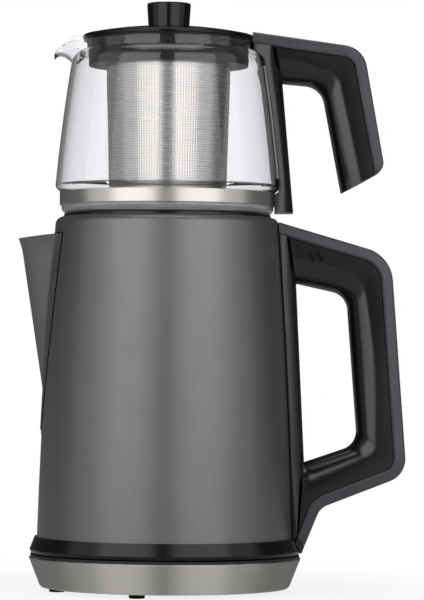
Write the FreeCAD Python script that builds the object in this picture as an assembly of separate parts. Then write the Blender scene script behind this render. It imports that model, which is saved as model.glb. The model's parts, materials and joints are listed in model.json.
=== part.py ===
import FreeCAD, Part
import math
import os

from FreeCAD import Vector

# Tea maker: a cordless kettle on a round power base, with a glass teapot on top of the kettle.
# Millimetres. The appliance axis is Z, the handles point along +X and both spouts along -X.

# Fits
touch_gap = 0.05          # radial gap of a pin or screw in its hole
slide_gap = 0.6           # gap round a piece that lifts out
seat_gap = 0.3            # gap of a round piece in its seat
cut_past = 1.0            # how far a cutter runs on past the face that it cuts
near = 0.01               # how closely an edge is matched to a place

# Power base
foot_stand = 2.4          # how far the pads stand out under the base
foot_inset = 1.0
foot_r = 4.6
foot_margin = 9.0         # from the ring's bottom edge in to the pads' centres
foot_pair_angle = 45.5    # direction of one pair of pads, and the other pair is opposite
foot_half_angle = 31.2
ring_height = 17.6
ring_stand = 0.4          # the ring is this much wider than the kettle's skirt
ring_taper = 6.4
ring_sheet = 1.0
ring_side = 1.3           # thickness of the ring's tapered side
ring_edge = 0.4
ring_lip = 2.2
shell_floor = 2.5
shell_wall = 1.8
plate_gap = 0.2           # between the steel ring and the plate on top of it
plate_thickness = 2.6
plate_rim_step = 0.8
plate_rim_width = 7.0
plate_rim_height = 1.6
plate_seat_inset = 13.4   # from the kettle body's bottom edge in to the seat
plate_seat_width = 4.0
post_circle_r = 50.0
post_r = 4.0
post_count = 4
base_screw_r = 1.5
base_screw_head_r = 2.9
base_screw_head = 1.8     # depth of the recess for the head
base_screw_sunk = 0.18    # the head lies this deep in it
base_screw_bite = 1.3     # how far the screws go into the top plate
tower_r = 16.0
tower_rise = 4.6          # how far the socket stands above the base plate
tower_round = 1.0
tower_flange_r = 24.0
tower_flange = 3.0
socket_pin_r = 3.4
socket_slot_inner_r = 8.2
socket_slot_outer_r = 11.2
socket_depth = 12.0
contact_sheet = 0.5
cord_angle = 135.5        # the cord leaves the back of the base
cord_bore_r = 3.6
bush_wall = 2.0
bush_stand = 1.0
bush_flange = 1.6

# Kettle
kettle_gap = 0.8          # gap seen between the base plate's rim and the kettle
skirt_height = 9.2
skirt_edge_rise = 1.9     # the skirt is widest this far above its bottom
skirt_stand = 1.4         # the skirt's top edge stands this far out of the body
skirt_flare = 2.8
skirt_tuck = 0.7
skirt_wall = 2.2
skirt_sleeve = 9.0
skirt_sleeve_wall = 1.6
sleeve_gap = 0.2          # between the skirt's sleeve and the body round it
body_height = 188.0
body_bottom_r = 75.4
body_taper = 9.4
body_bulge = 1.0
body_sheet = 1.0
shoulder_r = 4.8
mouth_inset = 8.0
mouth_lip = 6.0
heater_height = 20.0      # water side of the heating plate above the body's bottom edge
heater_sheet = 0.8
heater_flange = 9.0
heater_seal = 0.9
heater_seal_drop = 7.2    # bottom of the seal under the water side
diffuser_inset = 17.4
diffuser_thickness = 3.0
element_circle_r = 46.0
element_tube_r = 3.6
element_turn = 300.0
element_pin_r = 1.6
element_pin_length = 6.0
terminal_sheet = 0.8
terminal_width = 6.3
cover_inset = 8.2         # from the skirt's bottom edge in to the cover
cover_thickness = 2.4
cover_ledge = 2.0
cover_hole_r = 21.0
boss_inset = 10.4
boss_r = 3.6
boss_over = 2.0           # how far the bosses stand over the body's bottom edge
boss_web = 4.4
boss_count = 3
boss_first_angle = 30.0
cover_screw_r = 1.4
cover_screw_head_r = 2.8
cover_screw_head = 1.6
cover_screw_sunk = 0.32
control_r = 26.0
control_step = 3.0
bimetal_r = 6.0
bimetal_sheet = 0.4
bimetal_pocket = 1.6
bimetal_circle_r = 14.0
connector_r = 19.6
connector_wall = 3.0
connector_top = 3.6
blade_root = 2.16         # how far the blades go up into the plug's top
ring_blade_inner_r = 9.0
ring_blade_outer_r = 10.4
pin_blade_r = 2.8
connector_stand = 0.4     # how far the plug's wall comes down out of the cover
blade_reach = 8.0         # how far the blades go down into the socket

# Kettle spout
spout_overhang = 12.4     # the tip is this far outside the body's bottom edge
spout_top_drop = 13.0     # spout's tip under the kettle's top
spout_sheet = 1.1
spout_nose_r = 5.0
spout_half_angle = 40.0   # each side of the spout's V
spout_foot_rise = 68.2    # the spout starts this far over the body's bottom edge
spout_foot_inset = 5.1
spout_lip_drop = 5.0      # the front edge turns out to a lip this far under the tip
spout_lip_flare = 2.1
spout_rim_rise = 2.6      # the rim's line is this much higher over the mouth than at the tip
flange_sheet = 0.7
flange_bottom_rise = 60.2
flange_half = 28.2
flange_over_spout = 2.5
strainer_sheet = 0.5
strainer_frame = 2.0
strainer_border = 4.0
strainer_corner = 3.0
strainer_top_half = 14.0
strainer_foot_half = 4.6
strainer_foot_drop = 73.8
strainer_margin = 12.0
strainer_head_gap = 2.0   # between the strainer and the rolled lip of the mouth
strainer_top_drop = 17.0

# Handles
handle_half = 13.5        # half the width across a handle
strip = 6.6               # depth of the cover strip along the outside
groove = 0.9              # shadow groove between strip and grip
groove_depth = 0.9
gasket = 1.0
gasket_inset = 0.7
gasket_margin = 2.0
grip_round = 6.5
strip_bevel = 1.0
bracket_half = 6.0
bracket_height = 16.0
bracket_depth = 2.8
bracket_top_drop = 51.8
bracket_bottom_rise = 60.2
handle_screw_r = 1.9
handle_screw_head_r = 3.5
handle_screw_head = 2.2
handle_screw_start = 0.4  # from the kettle's wall to the end of the screw
slot_half = 0.5           # screwdriver slot in every screw head
slot_depth = 0.8
slot_half_length = 2.3
handle_screw_grip = 1.2   # plastic between screw head and bracket

# Kettle handle outline: corners (outwards from the body's bottom edge, height, radius)
# The upper ones are measured from the body's top and the lower ones from its bottom edge.
arm_start = (-8.9, -2.8)
arm_corner = (56.3, -21.7, 21.0)
finger_top_inner = (0.6, -38.5)
finger_top_outer = (30.4, -45.0, 11.5)
ridge_top = (-3.4, -11.8)      # the pillar's edge runs on above and below the finger gap
heel_corner = (66.15, 37.8, 14.0)
knee_corner = (15.7, 18.0, 10.0)
tail_end = (1.6, -16.6)
finger_foot_outer = (37.3, 55.3, 11.0)
finger_foot_inner = (6.0, 44.5)
ridge_foot = (3.2, 4.2)
foot_split = ((2.5, 1.4), (6.6, -4.4))
foot_clip_seam = 0.3
strip_end_rise = 0.6           # the strip's lower end above the kettle's bottom edge
panel_step = 0.7               # the grip's sides lie this much inside the pillar's

# Switch in the top of the kettle handle
rocker_out = 17.6         # from the body's bottom edge out to the rocker's middle
rocker_length = 20.0
rocker_half = 5.4
rocker_thickness = 4.0
rocker_pin_drop = 3.0     # the pin under the rocker's top
rocker_edge = 2.2         # thickness of the rocker at its two ends
rocker_dip = 0.35
rocker_belly = 1.4
rocker_belly_half = 3.6
rocker_round = 0.8
rocker_recess = 0.8
rocker_gap = 0.5
rocker_pin_r = 1.1
rocker_tilt = 4.0         # the rocker rests this far back, and goes as far forward
switch_cavity_length = 34.0
switch_cavity_half = 8.2
switch_cavity_depth = 15.0
switch_block_length = 24.0
switch_block_height = 8.0
switch_floor_gap = 3.0    # between the rocker and the switch under it
switch_vent_r = 1.0
switch_ear = 1.6
switch_ear_land = 0.9     # what the ears have over the pin
switch_ear_half_length = 3.0
lens_r = 1.5
lens_recess = 0.3
lens_out = 32.6
vents_out = (9.1, 14.0)
vent_drop = 23.0
vent_length = 5.2
vent_r = 0.95
vent_tilt = 27.0
steam_port_r = 2.6
steam_port_drop = 16.8

# Kettle lid, which carries the teapot
lid_overlap = 3.0
lid_flange = 2.0
lid_plug_depth = 12.0
lid_plug_wall = 3.0
lid_floor = 2.0
lid_edge = 0.6
lid_hole_inset = 20.0
lid_vent_r = 2.2
lid_vent_count = 12
lid_seal_height = 3.0
lid_seal_depth = 1.4
lid_seal_drop = 2.6

# Teapot
foot_boss_inset = 8.0
foot_boss_drop = 10.4
foot_boss_corner = 1.5
foot_height = 5.1         # the glass foot up to its seal
foot_corner = 3.4
band_step = 2.4           # the steel band is this much narrower than the kettle's top
band_top_rise = 12.7      # the band's top over the bottom of the foot
band_height = 7.9
band_sheet = 0.8
foot_seal_height = 1.4
glass_wall = 2.6
glass_spigot_inset = 1.1
glass_overhang = 2.5
glass_foot_rise = 4.4
glass_foot_bend = (0.27, 0.7)  # where the foot's bend passes, over its width and its height
glass_taper = 6.4
glass_shoulder_rise = 89.2
glass_bulge = 0.6
glass_shoulder_step = 6.6
glass_neck_rise = 7.4
glass_rim_rise = 5.4
glass_shoulder_bow = (1.2, 0.8)  # how far the shoulder's bend stands out of its chord
pot_bond = 0.8
bond_margin = 4.0

# Pouring lip of the glass: reach out of the neck, half width, underside under the rim at each section
lip_sections = (
    (-6.6, 18.5, -18.8),
    (4.9, 14.0, -14.6),
    (9.9, 10.4, -10.2),
    (13.8, 7.2, -9.2),
    (16.8, 4.4, -11.4),
)
lip_crown = ((-4.6, 0.0), (1.4, 1.6), (6.4, 1.1), (12.0, -2.6), (15.4, -6.4), (17.6, -11.0))
lip_overshoot = 6.0
lip_wall = 2.08
lip_trough = 0.75         # depth of the lip's round bottom over its half width

# Teapot handle outline: corners outwards from the band, the upper ones from the rim's height and the
# lower ones from the bottom of the glass foot
pot_arm_start = (-14.9, 5.3)
pot_arm_corner = (51.1, -3.7, 15.0)
pot_finger_outer = (26.5, -26.7, 12.3)
pot_finger_inner = (3.5, -24.7)
pot_heel_corner = (64.0, 27.0)
pot_heel_round = 1.1      # its radius over the strip's depth
pot_tip = (38.5, 12.8)
pot_pillar_foot = (10.4, 1.1)
pot_lid_gap = 0.7
pot_bracket_rise = 8.8
pot_bracket_height = 7.0
pot_screw_head_r = 3.15

# Infuser
collar_gap = 0.9          # round the collar in the glass's neck
collar_wall = 1.8
collar_drop = 14.8        # collar below the glass rim
collar_flange_inset = 0.7
collar_flange = 1.2
collar_floor = 1.6
window_angles = (45.0, 135.0, 225.0, 315.0)
window_arc = 22.5
window_height = 7.8
window_drop = 2.6
basket_step = 10.4        # the basket is this much narrower than the collar
basket_taper = 2.1
basket_depth = 77.0
basket_sheet = 0.5
basket_rim = 3.0
basket_hem = 1.2
basket_hem_stand = 0.2

# Teapot lid
dome_inset = 0.1
dome_edge = 2.4
dome_rise = 7.5
dome_wall = 2.0
dome_edge_r = 1.2
skirt_ring_gap = 0.7
skirt_ring_wall = 1.8
skirt_ring_depth = 13.0
pad_stand = 0.4
pad_arc = 16.0
pad_height = 5.4
vent_hole_r = 2.0
vent_hole_x = -26.0
knob_seat = 0.8
knob_foot_r = 12.1
knob_top_r = 12.95
knob_height = 13.9
knob_edge = 0.9
knob_screw_r = 2.0
knob_screw_head_r = 4.2
knob_screw_head = 1.8
knob_screw_depth = 8.0
knob_screw_room = 0.5     # left over the end of the screw
knob_screw_gap = 0.2      # between the dome and the screw's head
knob_hollow_inner_r = 4.2 # the knob is hollow round the boss that takes the screw
knob_hollow_outer_r = 6.0

# Radii
skirt_top_r = body_bottom_r + skirt_stand
skirt_wide_r = skirt_top_r + skirt_flare
skirt_bottom_r = skirt_wide_r - skirt_tuck
ring_top_r = skirt_wide_r + ring_stand
ring_bottom_r = ring_top_r - ring_taper
plate_rim_r = ring_top_r - plate_rim_step
plate_seat_r = body_bottom_r - plate_seat_inset
foot_circle_r = ring_bottom_r - foot_margin
boss_circle_r = body_bottom_r - boss_inset
diffuser_r = body_bottom_r - diffuser_inset
body_top_r = body_bottom_r - body_taper
mouth_r = body_top_r - mouth_inset
kettle_spout_reach = body_bottom_r + spout_overhang
spout_foot_reach = body_bottom_r - spout_foot_inset
lid_flange_r = mouth_r + lid_overlap
lid_hole_r = mouth_r - lid_hole_inset
foot_boss_r = mouth_r - foot_boss_inset
band_r = body_top_r - band_step
glass_spigot_r = band_r - glass_spigot_inset
glass_foot_r = band_r + glass_overhang
glass_shoulder_r = band_r - glass_taper
glass_neck_r = glass_shoulder_r - glass_shoulder_step
collar_r = glass_neck_r - glass_wall - collar_gap
collar_flange_r = glass_neck_r - collar_flange_inset
basket_top_r = collar_r - basket_step
basket_foot_r = basket_top_r - basket_taper
dome_r = glass_neck_r - dome_inset
skirt_ring_r = collar_r - collar_wall - skirt_ring_gap

# Levels above the table
shell_z = foot_stand
ring_top_z = shell_z + ring_height
plate_z = ring_top_z + plate_gap
plate_rim_z = plate_z + plate_rim_height
kettle_z = plate_rim_z + kettle_gap
body_z = kettle_z + skirt_height
body_top_z = body_z + body_height
heater_z = body_z + heater_height
diffuser_z = heater_z - heater_sheet - diffuser_thickness
spout_top_z = body_top_z - spout_top_drop
spout_foot_z = body_z + spout_foot_rise
flange_bottom_z = body_z + flange_bottom_rise
strainer_foot_z = body_top_z - strainer_foot_drop
bracket_top_z = body_top_z - bracket_top_drop
bracket_bottom_z = body_z + bracket_bottom_rise
steam_port_z = body_top_z - steam_port_drop
pot_z = body_top_z + lid_flange
foot_top_z = pot_z + foot_height
band_top_z = pot_z + band_top_rise
pot_bracket_z = pot_z + pot_bracket_rise
glass_shoulder_z = pot_z + glass_shoulder_rise
glass_neck_z = glass_shoulder_z + glass_neck_rise
glass_rim_z = glass_neck_z + glass_rim_rise
collar_z = glass_rim_z + collar_flange
dome_top_z = collar_z + dome_rise
far = 400.0


# ---------------------------------------------------------------- drawing helpers

def at(point):
    return Vector(point[0], 0, point[1])


def profile(start, *steps):
    """A face in the XZ plane. A step is a point, or an arc as (point on the arc, end point)."""
    edges = []
    here = start
    for step in steps + (start,):
        if isinstance(step[0], tuple):
            end = step[1]
            edges.append(Part.Arc(at(here), at(step[0]), at(end)).toShape())
        else:
            end = step
            if end != here:
                edges.append(Part.makeLine(at(here), at(end)))
        here = end
    return Part.Face(Part.Wire(edges))


def turned(face, angle=360.0):
    return face.revolve(Vector(0, 0, 0), Vector(0, 0, 1), angle)


def ring(inner, outer, low, high):
    return turned(profile((inner, low), (outer, low), (outer, high), (inner, high)))


def disc(radius, low, high, x=0.0, y=0.0):
    return Part.makeCylinder(radius, high - low, Vector(x, y, low))


def rod_x(radius, start, end, z, y=0.0):
    return Part.makeCylinder(radius, end - start, Vector(start, y, z), Vector(1, 0, 0))


def rod_y(radius, half, x, z):
    return Part.makeCylinder(radius, 2 * half, Vector(x, -half, z), Vector(0, 1, 0))


def block(x0, x1, half, z0, z1):
    return Part.makeBox(x1 - x0, 2 * half, z1 - z0, Vector(x0, -half, z0))


def turned_to(shape, degrees):
    moved = shape.copy()
    moved.rotate(Vector(0, 0, 0), Vector(0, 0, 1), degrees)
    return moved


def around(shape, count, first=0.0):
    """Copies of a shape, spaced evenly round the axis."""
    return [turned_to(shape, first + 360.0 * k / count) for k in range(count)]


def group(solids):
    return Part.makeCompound(solids)


def edges_above(solid, z):
    """Edges that lie at a height or over it."""
    return [e for e in solid.Edges if e.BoundBox.ZMin > z - near]


def joined(first, *others):
    return first.fuse(list(others)).removeSplitter()


def corner(before, here, after, radius):
    """Tangent points and middle of the arc that rounds a corner."""
    p = Vector(here[0], 0, here[1])
    a = (Vector(before[0], 0, before[1]) - p).normalize()
    b = (Vector(after[0], 0, after[1]) - p).normalize()
    half = a.getAngle(b) / 2
    reach = radius / math.tan(half)
    bisector = (a + b).normalize()
    middle = p + bisector * (radius / math.sin(half) - radius)
    return p + a * reach, middle, p + b * reach


def outline(points):
    """A closed face in the XZ plane from (x, z) or (x, z, radius) corners."""
    edges = []
    ends = []
    for k, here in enumerate(points):
        if len(here) == 3:
            start, middle, end = corner(points[k - 1], here, points[(k + 1) % len(points)], here[2])
            edges.append(Part.Arc(start, middle, end).toShape())
            ends.append((start, end))
        else:
            edges.append(None)
            ends.append((at(here), at(here)))
    wire = []
    for k, edge in enumerate(edges):
        if edge:
            wire.append(edge)
        wire.append(Part.makeLine(ends[k][1], ends[(k + 1) % len(points)][0]))
    return Part.Face(Part.Wire(wire))


def across(face, half):
    """An XZ face made solid from -half to +half along Y."""
    moved = face.copy()
    moved.translate(Vector(0, -half, 0))
    return moved.extrude(Vector(0, 2 * half, 0))


def moved_in(path, distance):
    """An open path moved to its right by a distance, with its corners kept and their radii adjusted."""
    lines = []
    for p, q in zip(path, path[1:]):
        along = Vector(q[0] - p[0], 0, q[1] - p[1]).normalize()
        side = Vector(along.z, 0, -along.x) * distance
        lines.append((at(p) + side, along))
    result = [tuple((lines[0][0])[k] for k in (0, 2))]
    for (p, u), (q, v), here in zip(lines, lines[1:], path[1:-1]):
        cross = u.x * v.z - u.z * v.x
        step = ((q.x - p.x) * v.z - (q.z - p.z) * v.x) / cross
        radius = here[2] - distance if cross < 0 else here[2] + distance
        result.append((p.x + u.x * step, p.z + u.z * step, radius))
    last = at(path[-1]) + Vector(lines[-1][1].z, 0, -lines[-1][1].x) * distance
    result.append((last.x, last.z))
    return result


def circle_through(p, q, r):
    """Centre (x, z) and radius of the circle through three points."""
    ax, az = q[0] - p[0], q[1] - p[1]
    bx, bz = r[0] - p[0], r[1] - p[1]
    d = 2 * (ax * bz - az * bx)
    a2 = ax * ax + az * az
    b2 = bx * bx + bz * bz
    cx = (bz * a2 - az * b2) / d
    cz = (ax * b2 - bx * a2) / d
    return p[0] + cx, p[1] + cz, math.hypot(cx, cz)


# ---------------------------------------------------------------- kettle body surface

side_top_z = body_top_z - shoulder_r
side_middle = ((body_bottom_r + body_top_r) / 2 + body_bulge, (body_z + side_top_z) / 2)
side_circle = circle_through((body_bottom_r, body_z), side_middle, (body_top_r, side_top_z))


def body_r(z, offset=0.0):
    """Radius of the kettle's outside at a height, plus an offset along its normal."""
    cx, cz, radius = side_circle
    return cx + math.sqrt((radius + offset) ** 2 - (z - cz) ** 2)


def side_arc(offset, low, high):
    """The kettle's side as a profile step: its middle and end, from low to high or back."""
    middle = (low + high) / 2
    return (body_r(middle, offset), middle), (body_r(high, offset), high)


def side_band(inner, outer, low, high):
    """A wall that follows the kettle's side between two offsets from its outside."""
    start = (body_r(low, inner), low)
    return turned(profile(start, (body_r(low, outer), low), side_arc(outer, low, high),
                          (body_r(high, inner), high), side_arc(inner, high, low)))


def shoulder(offset):
    """The rounded top corner of the kettle, as the profile step after its side."""
    r = shoulder_r + offset
    centre_r = body_top_r - shoulder_r
    middle = (centre_r + r * math.sqrt(0.5), side_top_z + r * math.sqrt(0.5))
    return middle, (centre_r, side_top_z + r)


def kettle_envelope(gap):
    """Everything inside the kettle's outside, grown by a gap over the body and by a seat gap at the skirt."""
    edge_z = kettle_z + skirt_edge_rise
    low = body_z + seat_gap
    grow = seat_gap if gap else 0.0
    return turned(profile(
        (0.0, 0.0), (skirt_wide_r + grow, 0.0), (skirt_wide_r + grow, edge_z), (skirt_top_r + grow, low),
        (body_r(low, gap), low), side_arc(gap, low, side_top_z), shoulder(gap), (0.0, body_top_z + gap)))


# ---------------------------------------------------------------- power base

foot_turns = (-foot_half_angle, foot_half_angle, 180.0 - foot_half_angle, 180.0 + foot_half_angle)
foot_angles = [foot_pair_angle + turn for turn in foot_turns]


def at_feet(shape):
    return [turned_to(shape, angle) for angle in foot_angles]


def base_feet():
    pad = disc(foot_r, 0.0, foot_stand + foot_inset, foot_circle_r)
    rounded = pad.makeFillet(foot_stand / 4, [pad.Edges[2]])
    return group(at_feet(rounded))


def cord_axis(shape):
    return turned_to(shape, cord_angle)


def shell_floor_z():
    return shell_z + shell_floor


def plate_low_z():
    return plate_z - plate_thickness


def cord_z():
    """The inlet is midway between the base's floor and its plate."""
    return (shell_floor_z() + plate_low_z()) / 2


def ring_r(z):
    """Outer radius of the steel ring's cone."""
    slope = (ring_top_r - ring_bottom_r) / (ring_height - ring_sheet)
    return ring_bottom_r + (z - shell_z - ring_sheet) * slope


def shell_r():
    return ring_bottom_r - ring_sheet - ring_lip


def base_trim_ring():
    low = shell_z
    top = ring_top_z
    sheet = profile(
        (shell_r() + seat_gap, low), (ring_bottom_r - ring_sheet, low), (ring_bottom_r, low + ring_sheet),
        (ring_top_r, top - ring_edge), (ring_top_r - ring_edge, top), (ring_top_r - ring_lip, top),
        (ring_top_r - ring_lip, top - ring_sheet), (ring_top_r - ring_side, top - ring_sheet),
        (ring_bottom_r - ring_side, low + ring_sheet), (shell_r() + seat_gap, low + ring_sheet))
    hole = cord_axis(rod_x(cord_bore_r + bush_wall + touch_gap, shell_r(), ring_top_r, cord_z()))
    return turned(sheet).cut(hole)


def base_shell():
    floor = disc(shell_r(), shell_z, shell_floor_z())
    posts = around(disc(post_r, shell_z, plate_low_z(), post_circle_r), post_count)
    solid = joined(floor, *posts)
    holes = around(disc(base_screw_r + touch_gap, 0.0, far, post_circle_r), post_count)
    head = disc(base_screw_head_r + seat_gap, 0.0, shell_z + base_screw_head, post_circle_r)
    heads = around(head, post_count)
    pockets = at_feet(disc(foot_r + touch_gap, 0.0, shell_z + foot_inset, foot_circle_r))
    return solid.cut(holes + heads + pockets)


def base_wall():
    """Moulded ring between the floor and the top plate, which holds the cord's bush."""
    wall = ring(shell_r() - shell_wall, shell_r(), shell_floor_z(), plate_low_z())
    cord_hole = cord_axis(rod_x(cord_bore_r + bush_wall + touch_gap, post_circle_r, ring_top_r, cord_z()))
    return wall.cut(cord_hole)


def base_screws():
    low = shell_z + base_screw_head
    head = disc(base_screw_head_r, shell_z + base_screw_sunk, low, post_circle_r)
    shank = disc(base_screw_r, low, plate_low_z() + base_screw_bite, post_circle_r)
    slot = block(post_circle_r - base_screw_head_r, post_circle_r + base_screw_head_r, slot_half, shell_z,
                 shell_z + slot_depth)
    return group(around(joined(head, shank).cut(slot), post_count))


def base_top_plate():
    inside = ring_top_r - ring_lip - seat_gap
    flat = disc(inside, plate_low_z(), plate_z)
    edge = ring(plate_rim_r - plate_rim_width, plate_rim_r, plate_z, plate_rim_z)
    edge = edge.makeFillet(plate_rim_height / 4, edges_above(edge, plate_rim_z))
    seat = ring(plate_seat_r - plate_seat_width, plate_seat_r, plate_z, kettle_z)
    hole = disc(tower_r + seat_gap, 0.0, far)
    pilot_top = plate_low_z() + base_screw_bite + seat_gap
    pilots = around(disc(base_screw_r + touch_gap, 0.0, pilot_top, post_circle_r), post_count)
    return joined(flat, edge, seat).cut([hole] + pilots)


def socket_top_z():
    return plate_z + tower_rise


def base_socket():
    tower = disc(tower_r, shell_floor_z(), socket_top_z())
    tower = tower.makeFillet(tower_round, edges_above(tower, socket_top_z()))
    flange = disc(tower_flange_r, plate_low_z() - tower_flange, plate_low_z())
    deep = socket_top_z() - socket_depth
    pin_hole = disc(socket_pin_r, deep, far)
    slot = ring(socket_slot_inner_r, socket_slot_outer_r, deep, far)
    return joined(tower, flange).cut([pin_hole, slot])


def socket_contacts():
    deep = socket_top_z() - socket_depth
    high = socket_top_z() - socket_depth / 3
    outer = ring(socket_slot_outer_r - contact_sheet, socket_slot_outer_r, deep, high)
    inner = ring(socket_slot_inner_r, socket_slot_inner_r + contact_sheet, deep, high)
    cup = disc(socket_pin_r, deep, deep + contact_sheet)
    return group([outer, inner, cup])


def cord_bush():
    # the flange is flat, so it stops short of the round wall that it bears on
    flange_r = (plate_low_z() - shell_floor_z()) / 2 - seat_gap
    inner_wall_r = shell_r() - shell_wall
    flange_end = math.sqrt(inner_wall_r ** 2 - flange_r ** 2) - touch_gap
    start = flange_end - bush_flange
    end = ring_r(cord_z()) + bush_stand
    flange = rod_x(flange_r, start, flange_end, cord_z())
    tube = rod_x(cord_bore_r + bush_wall, start, end, cord_z())
    bore = rod_x(cord_bore_r, 0.0, far, cord_z())
    return cord_axis(joined(tube, flange).cut(bore))


# ---------------------------------------------------------------- kettle, lower end

def connector_z():
    return socket_top_z() + seat_gap


def blade_top():
    return connector_z() + blade_root


def kettle_connector():
    low = kettle_z - connector_stand
    top = connector_z() + connector_top
    cap = disc(connector_r, connector_z(), top)
    wall = ring(connector_r - connector_wall, connector_r, low, top)
    pin = disc(pin_blade_r, 0.0, blade_top())
    blade = ring(ring_blade_inner_r, ring_blade_outer_r, 0.0, blade_top())
    return joined(cap, wall).cut([pin, blade])


def connector_blades():
    low = socket_top_z() - blade_reach
    pin = disc(pin_blade_r, low, blade_top())
    pin = pin.makeFillet(pin_blade_r / 3, [e for e in pin.Edges if e.BoundBox.ZMax < low + near])
    return group([pin, ring(ring_blade_inner_r, ring_blade_outer_r, low, blade_top())])


def at_bosses(shape):
    return around(shape, boss_count, boss_first_angle)


def kettle_skirt():
    edge_z = kettle_z + skirt_edge_rise
    sleeve_out = -body_sheet - sleeve_gap
    sleeve_in = sleeve_out - skirt_sleeve_wall
    high = body_z + skirt_sleeve
    outer = profile(
        (skirt_bottom_r, kettle_z), (skirt_wide_r, edge_z), (skirt_top_r, body_z),
        (body_r(body_z, sleeve_out), body_z), side_arc(sleeve_out, body_z, high),
        (body_r(high, sleeve_in), high), side_arc(sleeve_in, high, body_z),
        (body_r(body_z, sleeve_in) - skirt_wall, body_z - skirt_wall), (cover_r(), body_z - skirt_wall),
        (cover_r(), kettle_z + cover_thickness), (cover_r() + cover_ledge, kettle_z + cover_thickness),
        (cover_r() + cover_ledge, kettle_z))
    low = kettle_z + cover_thickness
    bosses = at_bosses(disc(boss_r, low, body_z + boss_over, boss_circle_r))
    webs = at_bosses(block(boss_circle_r, cover_r() + touch_gap, boss_web / 2, low, body_z))
    pilots = at_bosses(disc(cover_screw_r + touch_gap, 0.0, body_z, boss_circle_r))
    return joined(turned(outer), *bosses, *webs).cut(pilots)


def cover_r():
    """Edge of the kettle's bottom cover, inside the skirt."""
    return skirt_bottom_r - cover_inset


def kettle_bottom_cover():
    plate = disc(cover_r() + cover_ledge - seat_gap, kettle_z, kettle_z + cover_thickness)
    hole = disc(cover_hole_r, 0.0, far)
    holes = at_bosses(disc(cover_screw_r + touch_gap, 0.0, far, boss_circle_r))
    heads = at_bosses(disc(cover_screw_head_r + seat_gap, 0.0, kettle_z + cover_screw_head, boss_circle_r))
    return plate.cut([hole] + holes + heads)


def cover_screws():
    low = kettle_z + cover_screw_head
    head = disc(cover_screw_head_r, kettle_z + cover_screw_sunk, low, boss_circle_r)
    shank = disc(cover_screw_r, low, body_z - seat_gap, boss_circle_r)
    return group(at_bosses(joined(head, shank)))


def heating_plate():
    low = heater_z - heater_flange
    wall = -body_sheet - heater_seal
    top = side_band(wall - heater_sheet, wall, low, heater_z)
    floor = disc(body_r(heater_z, wall) - heater_sheet / 2, heater_z - heater_sheet, heater_z)
    return joined(top, floor)


def plate_seal():
    inside = touch_gap - body_sheet - heater_seal
    outside = -body_sheet - touch_gap
    return side_band(inside, outside, heater_z - heater_seal_drop, heater_z - heater_sheet)


def heat_diffuser():
    return disc(diffuser_r, diffuser_z, diffuser_z + diffuser_thickness)


def element_z():
    return diffuser_z - element_tube_r - touch_gap


def heating_element():
    middle = Vector(element_circle_r, 0, element_z())
    circle = Part.Wire(Part.makeCircle(element_tube_r, middle, Vector(0, 1, 0)))
    tube = turned(Part.Face(circle), element_turn)
    start = Part.makeCylinder(element_pin_r, element_pin_length, middle, Vector(0, -1, 0))
    end = Part.makeCylinder(element_pin_r, element_pin_length, middle, Vector(0, 1, 0))
    end = turned_to(end, element_turn)
    return turned_to(joined(tube, start, end), 180.0 + (360.0 - element_turn) / 2)


def element_terminals():
    """Flat tabs from the control out to the two pins of the element."""
    gap = math.degrees(element_pin_length / 2 / element_circle_r)
    half = (360.0 - element_turn) / 2 - gap
    low = element_z() - element_pin_r - terminal_sheet
    tab = block(control_r, element_circle_r + element_pin_r, terminal_width / 4, low, low + terminal_sheet)
    return group([turned_to(tab, 180.0 - half), turned_to(tab, 180.0 + half)])


def control_z():
    return connector_z() + connector_top + seat_gap


def bimetal_spots(radius, low, high):
    return around(disc(radius, low, high, bimetal_circle_r), 2, 90.0)


def control_unit():
    puck = disc(control_r, control_z(), diffuser_z)
    pockets = bimetal_spots(bimetal_r + seat_gap, diffuser_z - bimetal_pocket, far)
    step = ring(control_r - control_step, far, 0.0, control_z() + control_step)
    return puck.cut(pockets + [step])


def bimetal_discs():
    low = diffuser_z - bimetal_pocket
    return group(bimetal_spots(bimetal_r, low, low + bimetal_sheet))


# ---------------------------------------------------------------- kettle body and spout

def kettle_body():
    inside = -body_sheet
    lip_r = mouth_r + body_sheet / 2
    lip_bend = body_sheet / 2 * (1 - math.sqrt(0.5))
    lip_low = body_top_z - mouth_lip
    wall = profile(
        (body_bottom_r, body_z), side_arc(0.0, body_z, side_top_z), shoulder(0.0), (lip_r, body_top_z),
        ((mouth_r + lip_bend, body_top_z - lip_bend), (mouth_r, body_top_z - body_sheet / 2)),
        (mouth_r, lip_low), (mouth_r + body_sheet, lip_low), (mouth_r + body_sheet, body_top_z - body_sheet),
        shoulder(inside)[1], (shoulder(inside)[0], (body_r(side_top_z, inside), side_top_z)),
        side_arc(inside, side_top_z, body_z))
    steam_port = rod_x(steam_port_r, mouth_r, far, steam_port_z)
    return turned(wall).cut([spout_hole(0.0), steam_port])


def trapezium(top_half, top_z, foot_half, foot_z, radius):
    """A rounded trapezium as a solid bar along X, wide end up."""
    flat = outline([(-top_half, top_z, radius), (top_half, top_z, radius), (foot_half, foot_z, radius),
                    (-foot_half, foot_z, radius)])
    flat.rotate(Vector(0, 0, 0), Vector(0, 0, 1), 90)
    return flat.extrude(Vector(-far, 0, 0))


def spout_hole(grow):
    """The opening in the kettle's wall behind the spout, as a cutter."""
    return trapezium(strainer_top_half + grow, body_top_z - strainer_top_drop + grow,
                     strainer_foot_half + grow, strainer_foot_z - grow, strainer_corner)


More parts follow.
